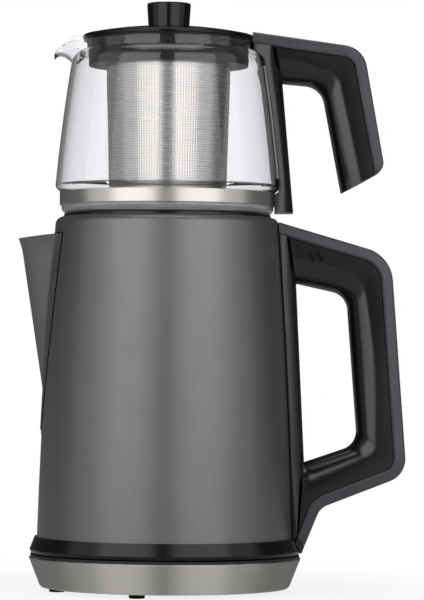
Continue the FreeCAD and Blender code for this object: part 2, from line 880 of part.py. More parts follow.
def spout_section(z, reach, inset):
    """A rounded V across the spout at a height, with its open end inside the kettle."""
    lean = math.radians(spout_half_angle)
    along = Vector(math.cos(lean), math.sin(lean), 0)
    side = Vector(-math.sin(lean), math.cos(lean), 0)
    radius = spout_nose_r - inset
    nose = Vector(spout_nose_r - reach, 0, z)
    tip = nose - Vector(radius, 0, 0)
    start = nose + side * radius
    back = start + along * reach
    mirror_start = Vector(start.x, -start.y, z)
    mirror_back = Vector(back.x, -back.y, z)
    return Part.Wire([Part.makeLine(back, start), Part.Arc(start, tip, mirror_start).toShape(),
                      Part.makeLine(mirror_start, mirror_back), Part.makeLine(mirror_back, back)])


def spout_solid(inset):
    """The spout's outside, or with an inset its hollow. Both run on above the rim."""
    lip_z = spout_top_z - spout_lip_drop
    lip_reach = kettle_spout_reach - spout_lip_flare
    front = Part.Face(spout_section(spout_foot_z, spout_foot_reach, inset))
    lip = Part.Face(spout_section(lip_z, lip_reach, inset))
    rise = Vector(spout_foot_reach - lip_reach, 0, lip_z - spout_foot_z)
    flare = Vector(-2 * spout_lip_flare, 0, 2 * spout_lip_drop)
    return joined(front.extrude(rise), lip.extrude(flare))


def above_spout_rim():
    root = mouth_r
    return across(outline([(-kettle_spout_reach, spout_top_z), (-root, spout_top_z + spout_rim_rise),
                           (-root, far), (-far / 2, far), (-far / 2, spout_top_z)]), far / 4)


def flange_block():
    """A parabola wrapped on the kettle's side, solid to the axis."""
    top = spout_top_z + flange_over_spout
    low = flange_bottom_z - cut_past
    left = Vector(0, -flange_half, top)
    right = Vector(0, flange_half, top)
    curve = Part.BezierCurve()
    curve.setPoles([left, Vector(0, 0, 2 * flange_bottom_z - top), right])
    bar = Part.Face(Part.Wire([curve.toShape(), Part.makeLine(right, left)])).extrude(Vector(-far, 0, 0))
    high = top + cut_past
    outside = side_arc(flange_sheet, low, high)
    band = turned(profile((0.0, low), (body_r(low, flange_sheet), low), outside, (0.0, high)))
    return band.common(bar)


def kettle_spout():
    outer = spout_solid(0.0).cut(above_spout_rim())
    return joined(outer, flange_block()).cut([kettle_envelope(0.0), spout_solid(spout_sheet)])


def strainer_wall(grow, inner, outer):
    low = strainer_foot_z - strainer_margin
    high = body_top_z - mouth_lip - strainer_head_gap
    return side_band(inner, outer, low, high).common(spout_hole(grow))


def strainer_outside():
    return -body_sheet - touch_gap


def spout_strainer_frame():
    outside = strainer_outside()
    frame = strainer_wall(strainer_border, outside - strainer_frame, outside)
    return frame.cut(spout_hole(-seat_gap))


def spout_strainer_mesh():
    outside = strainer_outside() - strainer_frame / 2
    return strainer_wall(-2 * seat_gap, outside - strainer_sheet, outside)


# ---------------------------------------------------------------- kettle handle

def from_top(point):
    """A corner of the kettle handle given from the body's top."""
    return (body_bottom_r + point[0], body_top_z + point[1]) + point[2:]


def from_foot(point):
    """A corner of the kettle handle given from the body's bottom edge."""
    return (body_bottom_r + point[0], body_z + point[1]) + point[2:]


def arm_slope():
    return (arm_corner[1] - arm_start[1]) / (arm_corner[0] - arm_start[0])


def kettle_handle_path():
    """Outside of the kettle handle, from inside the kettle's top to inside its foot."""
    arm_x, arm_z = from_top(arm_start)
    start = (mouth_r, arm_z - (arm_x - mouth_r) * arm_slope())
    return [start, from_top(arm_corner), from_foot(heel_corner), from_foot(knee_corner), from_foot(tail_end)]


def strip_between(path, depth, half):
    inner = moved_in(path, depth)
    return across(outline(path + inner[::-1]), half)


def arm_frame(out, depth):
    """A point under the top of the kettle handle: depth is measured square to it."""
    x, z = from_top((out, arm_start[1] + (out - arm_start[0]) * arm_slope()))
    lean = math.atan(arm_slope())
    return Vector(x + depth * math.sin(lean), 0, z - depth * math.cos(lean))


def on_arm(shape, out, depth):
    """A shape drawn round the origin, laid on the handle's slope."""
    placed = shape.copy()
    placed.rotate(Vector(0, 0, 0), Vector(0, 1, 0), -math.degrees(math.atan(arm_slope())))
    placed.translate(arm_frame(out, depth))
    return placed


def rocker_slot():
    half_length = rocker_length / 2 + rocker_gap
    slot = block(-half_length, half_length, rocker_half + rocker_gap, -strip * 2, strip)
    return on_arm(slot, rocker_out, 0.0)


def switch_cavity():
    half_length = switch_cavity_length / 2
    cavity = block(-half_length, half_length, switch_cavity_half, -switch_cavity_depth, 0.0)
    return on_arm(cavity, rocker_out, strip)


def side_edges(solid, half):
    """Edges that lie in the two flat sides of a handle's piece."""
    return [e for e in solid.Edges
            if abs(abs(e.BoundBox.YMin) - half) < near and e.BoundBox.YMax - e.BoundBox.YMin < near]


def bevel(solid, size, half):
    """Chamfers the long outside edges of a handle strip."""
    return solid.makeChamfer(size, side_edges(solid, half))


def strip_whole():
    body = bevel(strip_between(kettle_handle_path(), strip, handle_half), strip_bevel, handle_half)
    under = Part.makeBox(far, far, kettle_z + strip_end_rise, Vector(0, -far / 2, 0))
    return body.cut([kettle_envelope(gasket), under])


def foot_clip_zone(grow):
    """The lowest end of the strip, under a slanted line, which is a piece of its own."""
    high = from_foot(foot_split[0])
    low = from_foot(foot_split[1])
    return across(outline([(0.0, high[1] - grow), (high[0], high[1] - grow), (low[0], low[1] - grow),
                           (far, low[1] - grow), (far, 0.0), (0.0, 0.0)]), far / 4)


def kettle_handle_cover():
    lens_hole = on_arm(disc(lens_r + touch_gap, -strip, strip), lens_out, 0.0)
    return largest(strip_whole().cut([rocker_slot(), ear_pocket(), lens_hole, foot_clip_zone(0.0)]))


def handle_foot_clip():
    return largest(strip_whole().common(foot_clip_zone(foot_clip_seam)))


def largest(shape):
    return max(shape.Solids, key=lambda s: s.Volume)


def finger_gap():
    gap = outline([from_top(finger_top_inner), from_top(finger_top_outer), from_foot(finger_foot_outer),
                   from_foot(finger_foot_inner)])
    return across(gap, far / 2)


def vent_slots():
    slots = []
    for out in vents_out:
        reach = vent_length / 2 - vent_r
        across_all = handle_half + cut_past
        slot = block(-vent_r, vent_r, across_all, -reach, reach)
        slot = joined(slot, rod_y(vent_r, across_all, 0.0, reach), rod_y(vent_r, across_all, 0.0, -reach))
        slot.rotate(Vector(0, 0, 0), Vector(0, 1, 0), -vent_tilt)
        slot.translate(Vector(body_bottom_r + out, 0, body_top_z - vent_drop))
        slots.append(slot)
    return slots


def handle_bracket_spots():
    return (bracket_bottom_z, bracket_top_z)


def bracket_block(z, grow):
    half = bracket_height / 2 + grow
    face = body_r(z) + bracket_depth + grow
    return block(body_r(z) / 2, face, bracket_half + grow, z - half, z + half)


def finger_room_x():
    """Somewhere in the middle of the finger gap."""
    return body_bottom_r + (finger_top_inner[0] + finger_top_outer[0]) / 2


def screw_seat_x(z):
    """Where a handle screw's head sits, outside its bracket."""
    return body_r(z) + bracket_depth + seat_gap + handle_screw_grip


def kettle_handle_grip():
    path = moved_in(kettle_handle_path(), strip)
    flat = outline(path + [(path[0][0], path[-1][1])])
    body = across(flat, handle_half).cut(finger_gap())
    wide = [e for e in side_edges(body, handle_half) if on_finger_edge(e)]
    body = body.makeFillet(grip_round, wide)
    rim = strip_between(path, groove, handle_half + cut_past)
    rim = rim.cut(across(outline(path + [(path[0][0], path[-1][1])]), handle_half - groove_depth))
    ridge_high = from_top(ridge_top)
    ridge_low = from_foot(ridge_foot)
    panel = outline([(ridge_high[0], far), ridge_high, from_top(finger_top_inner),
                     from_foot(finger_foot_inner), ridge_low, (far, ridge_low[1]), (far, far)])
    sides = across(panel, far / 4).cut(across(panel, handle_half - panel_step))
    cutters = [kettle_envelope(gasket), rim, sides, switch_cavity()]
    cutters.append(Part.makeBox(far, far, kettle_z, Vector(0, -far / 2, 0)))
    port_end = body_bottom_r + rocker_out - rocker_length / 2
    cutters += [rod_x(steam_port_r, 0.0, port_end, steam_port_z)] + vent_slots()
    for z in handle_bracket_spots():
        cutters.append(bracket_block(z, seat_gap))
        cutters.append(rod_x(handle_screw_r + touch_gap, 0.0, screw_seat_x(z), z))
        cutters.append(rod_x(handle_screw_head_r + seat_gap, screw_seat_x(z), finger_room_x(), z))
    return largest(body.cut(cutters))


def on_finger_edge(edge):
    """Is this edge one of the three that the fingers wrap round?"""
    middle = edge.valueAt((edge.FirstParameter + edge.LastParameter) / 2)
    beyond_pillar = middle.x > from_foot(finger_foot_inner)[0] + panel_step
    low = from_foot(finger_foot_inner)[1] - grip_round
    high = from_top(finger_top_inner)[1]
    return beyond_pillar and low < middle.z < high and middle.x < from_foot(finger_foot_outer)[0] + panel_step


def handle_gasket():
    low = body_z + gasket_margin
    high = side_top_z - gasket_margin
    half = handle_half - gasket_inset
    strip_band = side_band(0.0, gasket, low, high).common(block(0.0, far, half, low, high))
    holes = [bracket_block(z, seat_gap) for z in handle_bracket_spots()]
    return strip_band.cut(holes + [rod_x(steam_port_r, 0.0, far, steam_port_z)])


def handle_brackets():
    brackets = []
    inside = turned(profile((0.0, 0.0), (body_r(body_z), 0.0), (body_r(body_z), body_z),
                            side_arc(0.0, body_z, side_top_z), (0.0, side_top_z)))
    for z in handle_bracket_spots():
        hole = rod_x(handle_screw_r + touch_gap, 0.0, far, z)
        brackets.append(bracket_block(z, 0.0).cut([inside, hole]))
    return group(brackets)


def handle_screws():
    screws = []
    for z in handle_bracket_spots():
        seat = screw_seat_x(z)
        head = rod_x(handle_screw_head_r, seat, seat + handle_screw_head, z)
        face = [e for e in head.Edges if e.BoundBox.XMin > seat + handle_screw_head - near]
        head = head.makeFillet(handle_screw_head / 4, face)
        shank = rod_x(handle_screw_r, body_r(z) + handle_screw_start, seat, z)
        slot = block(seat + handle_screw_head - slot_depth, far, slot_half, z - slot_half_length,
                     z + slot_half_length)
        screws.append(joined(head, shank).cut(slot))
    return group(screws)


# ---------------------------------------------------------------- switch in the handle

def pin_depth():
    """Depth of the rocker's pin under the outside of the handle."""
    return rocker_recess + rocker_pin_drop


def power_rocker():
    half = rocker_length / 2
    top = rocker_pin_drop
    edge = top - rocker_edge
    low = top - rocker_thickness - rocker_belly
    side = outline([(-half, top), (0.0, top - rocker_dip), (half, top), (half, edge, rocker_round),
                    (rocker_belly_half, low, rocker_round), (-rocker_belly_half, low, rocker_round),
                    (-half, edge, rocker_round)])
    paddle = across(side, rocker_half)
    bore = rod_y(rocker_pin_r + touch_gap, rocker_half + cut_past, 0.0, 0.0)
    paddle = paddle.cut(bore)
    paddle.rotate(Vector(0, 0, 0), Vector(0, 1, 0), -rocker_tilt)
    return on_arm(paddle, rocker_out, pin_depth())


def switch_ear_half():
    return rocker_half + rocker_gap + switch_ear


def ear_top():
    """Top of the ears above the pin."""
    return rocker_pin_r + switch_ear_land


def ear_pocket():
    half = switch_ear_half_length + seat_gap
    pocket = block(-half, half, switch_ear_half() + seat_gap, -strip * 2, ear_top() + seat_gap)
    return on_arm(pocket, rocker_out, pin_depth())


def rocker_pin():
    return on_arm(rod_y(rocker_pin_r, switch_ear_half(), 0.0, 0.0), rocker_out, pin_depth())


def switch_block():
    """Body of the switch under the rocker, with two ears that hold its pin."""
    floor = rocker_thickness - rocker_pin_drop + switch_floor_gap
    middle = -floor - switch_block_height / 2
    half = switch_block_length / 2
    body = block(-half, half, switch_cavity_half - seat_gap, -floor - switch_block_height, -floor)
    ear = block(-switch_ear_half_length, switch_ear_half_length, switch_ear_half(), -floor, ear_top())
    between = block(-half, half, rocker_half + rocker_gap, -floor, floor)
    hole = rod_y(rocker_pin_r + touch_gap, far, 0.0, 0.0)
    vent = rod_y(switch_vent_r, far, 0.0, middle)
    return on_arm(joined(body, ear.cut(between)).cut([hole, vent]), rocker_out, pin_depth())


def indicator_lens():
    lens = disc(lens_r, -strip + seat_gap, -lens_recess)
    return on_arm(lens, lens_out, 0.0)


# ---------------------------------------------------------------- kettle lid

def plug_r():
    return mouth_r - slide_gap


def kettle_lid():
    top = body_top_z + lid_flange
    low = body_top_z - lid_plug_depth
    shelf = low + lid_floor
    inner = plug_r() - lid_plug_wall
    groove_z = body_top_z - lid_seal_drop
    ring_face = profile(
        (lid_hole_r, low), (plug_r(), low), (plug_r(), groove_z - lid_seal_height),
        (plug_r() - lid_seal_depth, groove_z - lid_seal_height), (plug_r() - lid_seal_depth, groove_z),
        (plug_r(), groove_z), (plug_r(), body_top_z), (lid_flange_r, body_top_z),
        (lid_flange_r, top - lid_edge), (lid_flange_r - lid_edge, top), (inner, top), (inner, shelf),
        (lid_hole_r, shelf))
    vents = around(disc(lid_vent_r, 0.0, far, (lid_hole_r + inner) / 2), lid_vent_count)
    return turned(ring_face).cut(vents)


def kettle_lid_seal():
    high = body_top_z - lid_seal_drop
    return ring(plug_r() - lid_seal_depth, mouth_r - touch_gap, high - lid_seal_height, high)


# ---------------------------------------------------------------- teapot

def teapot_foot():
    """Stepped glass bottom: its rounded edge shows under the band, and its boss sits in the kettle's lid."""
    wall = glass_wall
    low = pot_z - foot_boss_drop
    chamfer = foot_boss_corner
    bend = foot_corner * (1 - math.sqrt(0.5))
    outer = glass_spigot_r
    inner = outer - wall
    face = profile(
        (0.0, low), (foot_boss_r - chamfer, low), (foot_boss_r, low + chamfer), (foot_boss_r, pot_z),
        (outer - foot_corner, pot_z), ((outer - bend, pot_z + bend), (outer, pot_z + foot_corner)),
        (outer, foot_top_z), (inner, foot_top_z), (inner, pot_z + foot_corner),
        (inner - chamfer, pot_z + wall), (foot_boss_r - wall, pot_z + wall), (foot_boss_r - wall, low + wall),
        (0.0, low + wall))
    return turned(face)


def teapot_band():
    """Steel band round the joint of glass and foot, which carries the handle's lower end."""
    band = ring(band_r - band_sheet, band_r, band_top_z - band_height, band_top_z)
    ends = [e for e in edges_above(band, band_top_z - band_height) if e.BoundBox.XMax > band_r - near]
    return band.makeChamfer(band_sheet / 4, [e for e in ends if e.BoundBox.ZMax - e.BoundBox.ZMin < near])


glass_foot_z = band_top_z + glass_foot_rise
glass_middle = ((glass_foot_r + glass_shoulder_r) / 2 + glass_bulge, (glass_foot_z + glass_shoulder_z) / 2)
glass_shoulder = (glass_shoulder_r, glass_shoulder_z)
glass_circle = circle_through((glass_foot_r, glass_foot_z), glass_middle, glass_shoulder)


def glass_r(z, offset=0.0):
    """Radius of the glass's outside at a height, plus an offset along its normal."""
    cx, cz, radius = glass_circle
    return cx + math.sqrt((radius + offset) ** 2 - (z - cz) ** 2)


def glass_arc(offset, low, high):
    """The glass's side as a profile step: its middle and end, from low to high or back."""
    middle = (low + high) / 2
    return (glass_r(middle, offset), middle), (glass_r(high, offset), high)


def foot_seal():
    return ring(glass_spigot_r - glass_wall, glass_spigot_r, foot_top_z, foot_top_z + foot_seal_height)


def glass_profile(inset):
    """Half section of the teapot's glass, filled to the axis: the outside, or with an inset the hollow."""
    past_end = cut_past if inset else 0.0
    low = foot_top_z + foot_seal_height - past_end
    high = glass_rim_z + past_end
    foot_r = glass_r(glass_foot_z, -inset)
    spigot = (glass_spigot_r - inset, band_top_z + seat_gap + inset / 2)
    bend_in, bend_down = glass_foot_bend
    bend = (foot_r + (spigot[0] - foot_r) * bend_in, glass_foot_z + (spigot[1] - glass_foot_z) * bend_down)
    shoulder_low = (glass_r(glass_shoulder_z, -inset), glass_shoulder_z)
    neck = (glass_neck_r - inset, glass_neck_z)
    bow_out, bow_up = glass_shoulder_bow
    bow = ((shoulder_low[0] + neck[0]) / 2 + bow_out, (shoulder_low[1] + neck[1]) / 2 + bow_up)
    side = glass_arc(-inset, glass_foot_z, glass_shoulder_z)
    return profile((0.0, low), (spigot[0], low), spigot, (bend, (foot_r, glass_foot_z)), side, (bow, neck),
                   (neck[0], high), (0.0, high))


def lip_solid(inset, lift):
    """The pouring lip as a filled trough, drawn out from the neck through rounded sections."""
    wires = []
    for out, half, drop in lip_sections:
        reach = glass_neck_r + out
        under = glass_rim_z + drop
        top = glass_rim_z + lift
        left = Vector(-reach, -(half - inset), top)
        right = Vector(-reach, half - inset, top)
        waist = under + half * lip_trough
        low_left = Vector(-reach, -(half - inset), waist)
        low_right = Vector(-reach, half - inset, waist)
        bottom = Vector(-reach, 0, under + inset)
        trough = Part.Arc(low_left, bottom, low_right).toShape()
        wires.append(Part.Wire([Part.makeLine(left, low_left), trough, Part.makeLine(low_right, right),
                                Part.makeLine(right, left)]))
    return Part.makeLoft(wires, True, False)


def above_lip():
    """What is cut away above the rim and the crown of the lip, seen from the side."""
    crown = [at((-glass_neck_r - out, glass_rim_z + rise)) for out, rise in lip_crown]
    curve = Part.BSplineCurve()
    curve.interpolate(crown)
    high = glass_rim_z + lip_overshoot * 2
    corners = [crown[-1], at((-far, crown[-1].z)), at((-far, high)), at((0.0, high)), at((0.0, glass_rim_z)),
               crown[0]]
    edges = [curve.toShape()] + [Part.makeLine(a, b) for a, b in zip(corners, corners[1:])]
    return across(Part.Face(Part.Wire(edges)), far / 4)


def teapot_glass():
    lip = lip_solid(0.0, lip_overshoot).cut(disc(glass_neck_r - glass_wall, 0.0, far))
    outer = joined(turned(glass_profile(0.0)), lip)
    hollow = lip_solid(lip_wall, lip_overshoot)
    lid_room = disc(dome_r + seat_gap, glass_rim_z, far)
    return outer.cut([turned(glass_profile(glass_wall)), hollow, above_lip(), lid_room])


def pot_envelope(gap):
    """The teapot's round outside grown by a gap, without its lip."""
    foot_r = glass_r(glass_foot_z, gap)
    shoulder_r_out = glass_r(glass_shoulder_z, gap)
    lid_r = dome_r + pot_lid_gap
    return turned(profile(
        (0.0, 0.0), (band_r + gap, 0.0), (band_r + gap, band_top_z - gap), (foot_r, band_top_z + gap),
        (foot_r, glass_foot_z), glass_arc(gap, glass_foot_z, glass_shoulder_z),
        (shoulder_r_out, glass_shoulder_z + 2 * gap), (glass_neck_r + gap, glass_neck_z + 2 * gap),
        (lid_r, glass_neck_z + 2 * gap), (lid_r, far), (0.0, far)))


def from_rim(point):
    """A corner of the teapot's handle given from the glass's rim."""
    return (band_r + point[0], glass_rim_z + point[1]) + point[2:]


def from_pot(point):
    """A corner of the teapot's handle given from the bottom of the foot."""
    return (band_r + point[0], pot_z + point[1]) + point[2:]


def pot_arm_slope():
    return (pot_arm_corner[1] - pot_arm_start[1]) / (pot_arm_corner[0] - pot_arm_start[0])


def pot_handle_path():
    arm_x, arm_z = from_rim(pot_arm_start)
    inside = basket_top_r
    start = (inside, arm_z - (arm_x - inside) * pot_arm_slope())
    heel = from_pot(pot_heel_corner) + (pot_heel_round * strip,)
    return [start, from_rim(pot_arm_corner), heel, from_pot(pot_tip)]


def pot_strip_end():
    """Where the strip's inner line meets the handle's slanted end."""
    inner = moved_in(pot_handle_path()[:3], strip)
    u = at(inner[2]) - at(inner[1])
    heel = at(from_pot(pot_heel_corner))
    v = at(from_pot(pot_tip)) - heel
    start = at(inner[1])
    cross = u.x * v.z - u.z * v.x
    step = ((heel.x - start.x) * v.z - (heel.z - start.z) * v.x) / cross
    return start.x + u.x * step, start.z + u.z * step


def teapot_handle_cover():
    path = pot_handle_path()
    inner = moved_in(path[:3], strip)
    face = outline(path[:3] + [pot_strip_end(), inner[1], inner[0]])
    return largest(bevel(across(face, handle_half), strip_bevel, handle_half).cut(pot_envelope(pot_bond)))


def pot_bracket(grow):
    half = pot_bracket_height / 2 + grow
    face = band_r + bracket_depth + grow
    return block(band_r / 2, face, bracket_half + grow, pot_bracket_z - half, pot_bracket_z + half)


def pot_screw_seat_x():
    return band_r + bracket_depth + seat_gap + handle_screw_grip


def on_pot_finger_edge(edge):
    middle = edge.valueAt((edge.FirstParameter + edge.LastParameter) / 2)
    inner_x, inner_z = from_rim(pot_finger_inner)
    tip_x, tip_z = from_pot(pot_tip)
    between = inner_x + panel_step < middle.x < tip_x - panel_step / 2
    return between and tip_z < middle.z < inner_z + panel_step


def teapot_handle_grip():
    inner = moved_in(pot_handle_path()[:3], strip)
    foot = from_pot(pot_pillar_foot)
    face = outline([inner[0], inner[1], pot_strip_end(), from_pot(pot_tip), from_rim(pot_finger_outer),
                    from_rim(pot_finger_inner), foot, (inner[0][0], foot[1])])
    body = across(face, handle_half)
    wide = [e for e in side_edges(body, handle_half) if on_pot_finger_edge(e)]
    body = body.makeFillet(grip_round, wide)
    seam = inner[:2] + [pot_strip_end()]
    rim = across(outline(seam + moved_in(seam, groove)[::-1]), handle_half + cut_past)
    rim = rim.cut(block(0.0, far, handle_half - groove_depth, 0.0, far))
    screw_hole = rod_x(handle_screw_r + touch_gap, 0.0, far / 4, pot_bracket_z)
    head_hole = rod_x(handle_screw_head_r + seat_gap, pot_screw_seat_x(), far / 4, pot_bracket_z)
    return largest(body.cut([pot_envelope(pot_bond), rim, pot_bracket(seat_gap), screw_hole, head_hole]))


def teapot_handle_bond():
    """Clear adhesive pad between the pillar of the handle and the glass."""
    low = glass_foot_z + bond_margin
    high = glass_shoulder_z - bond_margin / 2
    outside = pot_bond - touch_gap
    corner_low = (glass_r(low, outside), low)
    corner_high = (glass_r(high, touch_gap), high)
    face = profile((glass_r(low, touch_gap), low), corner_low, glass_arc(outside, low, high), corner_high,
                   glass_arc(touch_gap, high, low))
    return turned(face).common(block(0.0, far, handle_half - gasket_inset, low, high))


def teapot_handle_bracket():
    hole = rod_x(handle_screw_r + touch_gap, 0.0, far, pot_bracket_z)
    return pot_bracket(0.0).cut([disc(band_r, 0.0, far), hole])


def teapot_handle_screw():
    seat = pot_screw_seat_x()
    z = pot_bracket_z
    head = rod_x(pot_screw_head_r, seat, seat + handle_screw_head, z)
    shank = rod_x(handle_screw_r, band_r + seat_gap, seat, z)
    face = seat + handle_screw_head
    slot = block(face - slot_depth, far, slot_half, z - slot_half_length, z + slot_half_length)
    return joined(head, shank).cut(slot)


# ---------------------------------------------------------------- infuser

def sector(inner, outer, low, high, middle, arc):
    """Part of a ring, centred on an angle."""
    wedge = turned(profile((inner, low), (outer, low), (outer, high), (inner, high)), arc)
    return turned_to(wedge, middle - arc / 2)


def window_top_z():
    return glass_rim_z - window_drop


def infuser_collar():
    low = glass_rim_z - collar_drop
    inner = collar_r - collar_wall
    hole_r = basket_top_r + touch_gap
    face = profile(
        (hole_r, low), (collar_r, low), (collar_r, glass_rim_z), (collar_flange_r, glass_rim_z),
        (collar_flange_r, collar_z), (inner, collar_z), (inner, low + collar_floor),
        (hole_r, low + collar_floor))
    low_edge = window_top_z() - window_height
    windows = [sector(inner - cut_past, collar_r + cut_past, low_edge, window_top_z(), angle, window_arc)
               for angle in window_angles]
    return turned(face).cut(windows)


def infuser_basket():
    high = glass_rim_z - collar_drop + collar_floor
    low = high - basket_depth
    rim_r = basket_top_r + basket_rim
    top = high + basket_sheet
    face = profile(
        (0.0, low), (basket_foot_r, low), (basket_top_r, high), (rim_r, high), (rim_r, top),
        (basket_top_r - basket_sheet, top), (basket_foot_r - basket_sheet, low + basket_sheet),
        (0.0, low + basket_sheet))
    return turned(face)


def basket_foot_ring():
    """Rolled hem round the bottom of the basket."""
    low = glass_rim_z - collar_drop + collar_floor - basket_depth
    return ring(basket_foot_r - basket_hem * 2, basket_foot_r + basket_hem_stand, low - basket_hem, low)


# ---------------------------------------------------------------- teapot lid

def dome_arc(rise, radius):
    """Middle and end of the dome's arc from its edge up to the axis."""
    sphere = (radius ** 2 + rise ** 2) / (2 * rise)
    half = math.asin(radius / sphere) / 2
    return sphere * math.sin(half), rise - sphere * (1 - math.cos(half))


def dome_inner_r():
    return dome_r - dome_edge_r - dome_wall


def dome_face(drop, lift):
    """Half section of the dome. Its underside can be lowered by a gap, and its top lifted off."""
    outer_r = dome_r - dome_edge_r
    flat = dome_rise - dome_edge
    r, z = dome_arc(flat, outer_r)
    r2, z2 = dome_arc(flat, dome_inner_r())
    base = collar_z + dome_edge
    under = base - dome_wall - drop
    bend = dome_edge_r * (1 - math.sqrt(0.5))
    low_bevel = dome_edge_r / 3
    over = base + lift
    return profile(
        (dome_inner_r(), collar_z), (dome_r - low_bevel, collar_z), (dome_r, collar_z + low_bevel),
        (dome_r, base - dome_edge_r), ((dome_r - bend, base - bend), (outer_r, base)), (outer_r, over),
        ((r, over + z), (0.0, over + flat)), (0.0, under + flat), ((r2, under + z2), (dome_inner_r(), under)))


def lid_dome():
    screw_hole = disc(knob_screw_r + touch_gap, 0.0, far)
    vent = disc(vent_hole_r, 0.0, far, vent_hole_x)
    seat = disc(knob_foot_r + seat_gap, knob_z(), far)
    return turned(dome_face(0.0, 0.0)).cut([screw_hole, vent, seat])


def lid_skirt_ring():
    top = collar_z
    low = top - skirt_ring_depth
    wall = ring(skirt_ring_r - skirt_ring_wall, skirt_ring_r, low, dome_top_z)
    middle = window_top_z() - window_height / 2
    pad_low = middle - pad_height / 2
    pad_high = middle + pad_height / 2
    inside = skirt_ring_r - skirt_ring_wall / 2
    pads = [sector(inside, skirt_ring_r + pad_stand, pad_low, pad_high, a, pad_arc) for a in window_angles]
    web = ring(skirt_ring_r - skirt_ring_wall, dome_inner_r() - touch_gap, top, dome_top_z)
    return joined(wall, web, *pads).cut(turned(dome_face(touch_gap, dome_rise)))


def knob_z():
    return dome_top_z - knob_seat


def lid_knob():
    low = knob_z()
    high = dome_top_z + knob_height
    bend = knob_edge * (1 - math.sqrt(0.5))
    body = turned(profile(
        (0.0, low), (knob_foot_r, low), (knob_foot_r, dome_top_z), (knob_top_r, high - knob_edge),
        ((knob_top_r - bend, high - bend), (knob_top_r - knob_edge, high)), (0.0, high)))
    hollow = ring(knob_hollow_inner_r, knob_hollow_outer_r, low, low + knob_screw_depth)
    thread = disc(knob_screw_r + touch_gap, 0.0, low + knob_screw_depth + knob_screw_room)
    return body.cut([hollow, thread])


def knob_screw():
    """Screw up through the dome into the knob."""
    under = dome_top_z - dome_wall - knob_screw_gap
    head = disc(knob_screw_head_r, under - knob_screw_head, under)
    shank = disc(knob_screw_r, under, knob_z() + knob_screw_depth)
    low = under - knob_screw_head
    slot = block(-knob_screw_head_r, knob_screw_head_r, slot_half, low, low + slot_depth)
    return joined(head, shank).cut(slot)


# ---------------------------------------------------------------- hand over

nodes = {
    "base_feet": base_feet,
    "base_shell": base_shell,
    "base_wall": base_wall,
    "base_trim_ring": base_trim_ring,
    "base_screws": base_screws,
    "base_top_plate": base_top_plate,
    "base_socket": base_socket,
    "socket_contacts": socket_contacts,
    "cord_bush": cord_bush,
    "kettle_connector": kettle_connector,
    "connector_blades": connector_blades,
    "kettle_skirt": kettle_skirt,
    "kettle_bottom_cover": kettle_bottom_cover,
    "cover_screws": cover_screws,
    "heating_plate": heating_plate,
    "plate_seal": plate_seal,
    "heat_diffuser": heat_diffuser,
    "heating_element": heating_element,
    "element_terminals": element_terminals,
    "control_unit": control_unit,
    "bimetal_discs": bimetal_discs,
    "kettle_body": kettle_body,
    "kettle_spout": kettle_spout,
    "spout_strainer_frame": spout_strainer_frame,
    "spout_strainer_mesh": spout_strainer_mesh,
    "kettle_handle_cover": kettle_handle_cover,
    "handle_foot_clip": handle_foot_clip,
    "kettle_handle_grip": kettle_handle_grip,
    "handle_gasket": handle_gasket,
    "handle_brackets": handle_brackets,
    "handle_screws": handle_screws,
    "power_rocker": power_rocker,
    "rocker_pin": rocker_pin,
    "switch_block": switch_block,
    "indicator_lens": indicator_lens,
    "kettle_lid": kettle_lid,
    "kettle_lid_seal": kettle_lid_seal,
    "teapot_foot": teapot_foot,
    "teapot_band": teapot_band,
    "foot_seal": foot_seal,
    "teapot_glass": teapot_glass,
    "teapot_handle_cover": teapot_handle_cover,
    "teapot_handle_grip": teapot_handle_grip,
    "teapot_handle_bond": teapot_handle_bond,
    "teapot_handle_bracket": teapot_handle_bracket,
    "teapot_handle_screw": teapot_handle_screw,
    "infuser_collar": infuser_collar,
    "infuser_basket": infuser_basket,
    "basket_foot_ring": basket_foot_ring,
    "lid_dome": lid_dome,
    "lid_skirt_ring": lid_skirt_ring,
    "lid_knob": lid_knob,
    "knob_screw": knob_screw,
}

shapes = {name: make() for name, make in nodes.items()}
middle_x = Part.makeCompound(list(shapes.values())).optimalBoundingBox(False, False).Center.x

os.makedirs("parts", exist_ok=True)
for name, shape in shapes.items():
    shape.translate(Vector(-middle_x, 0, 0))
    shape.exportStep(f"parts/{name}.step")
    print(f"{name}: {len(shape.Solids)} solid(s), {shape.Volume / 1000:.2f} cm3, valid {shape.isValid()}")
print(f"The appliance's axis is at x = {-middle_x:.3f} mm")
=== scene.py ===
import json
import math
import bpy
import bmesh
from mathutils import Matrix, Vector


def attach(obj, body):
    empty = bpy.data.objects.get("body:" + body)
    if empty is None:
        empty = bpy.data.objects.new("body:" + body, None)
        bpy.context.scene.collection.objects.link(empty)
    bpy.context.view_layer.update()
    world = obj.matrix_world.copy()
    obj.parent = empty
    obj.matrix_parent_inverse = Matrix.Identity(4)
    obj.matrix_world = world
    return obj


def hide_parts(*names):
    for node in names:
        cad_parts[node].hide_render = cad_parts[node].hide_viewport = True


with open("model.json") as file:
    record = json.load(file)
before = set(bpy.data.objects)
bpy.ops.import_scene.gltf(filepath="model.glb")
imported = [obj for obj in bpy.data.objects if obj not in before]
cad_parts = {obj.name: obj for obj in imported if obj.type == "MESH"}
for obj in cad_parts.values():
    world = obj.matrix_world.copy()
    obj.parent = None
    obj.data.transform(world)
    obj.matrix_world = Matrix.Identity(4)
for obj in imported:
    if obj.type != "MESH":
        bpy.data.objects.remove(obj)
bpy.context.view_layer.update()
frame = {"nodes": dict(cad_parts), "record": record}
nodes = frame["nodes"]
axisX = -0.0265                      # the axis of base, kettle and teapot, in metres
millimetre = 0.001
weldGap = 0.00001                    # points nearer than this, in metres, become one
print("frame loaded:", len(nodes), "nodes")


# Small helpers

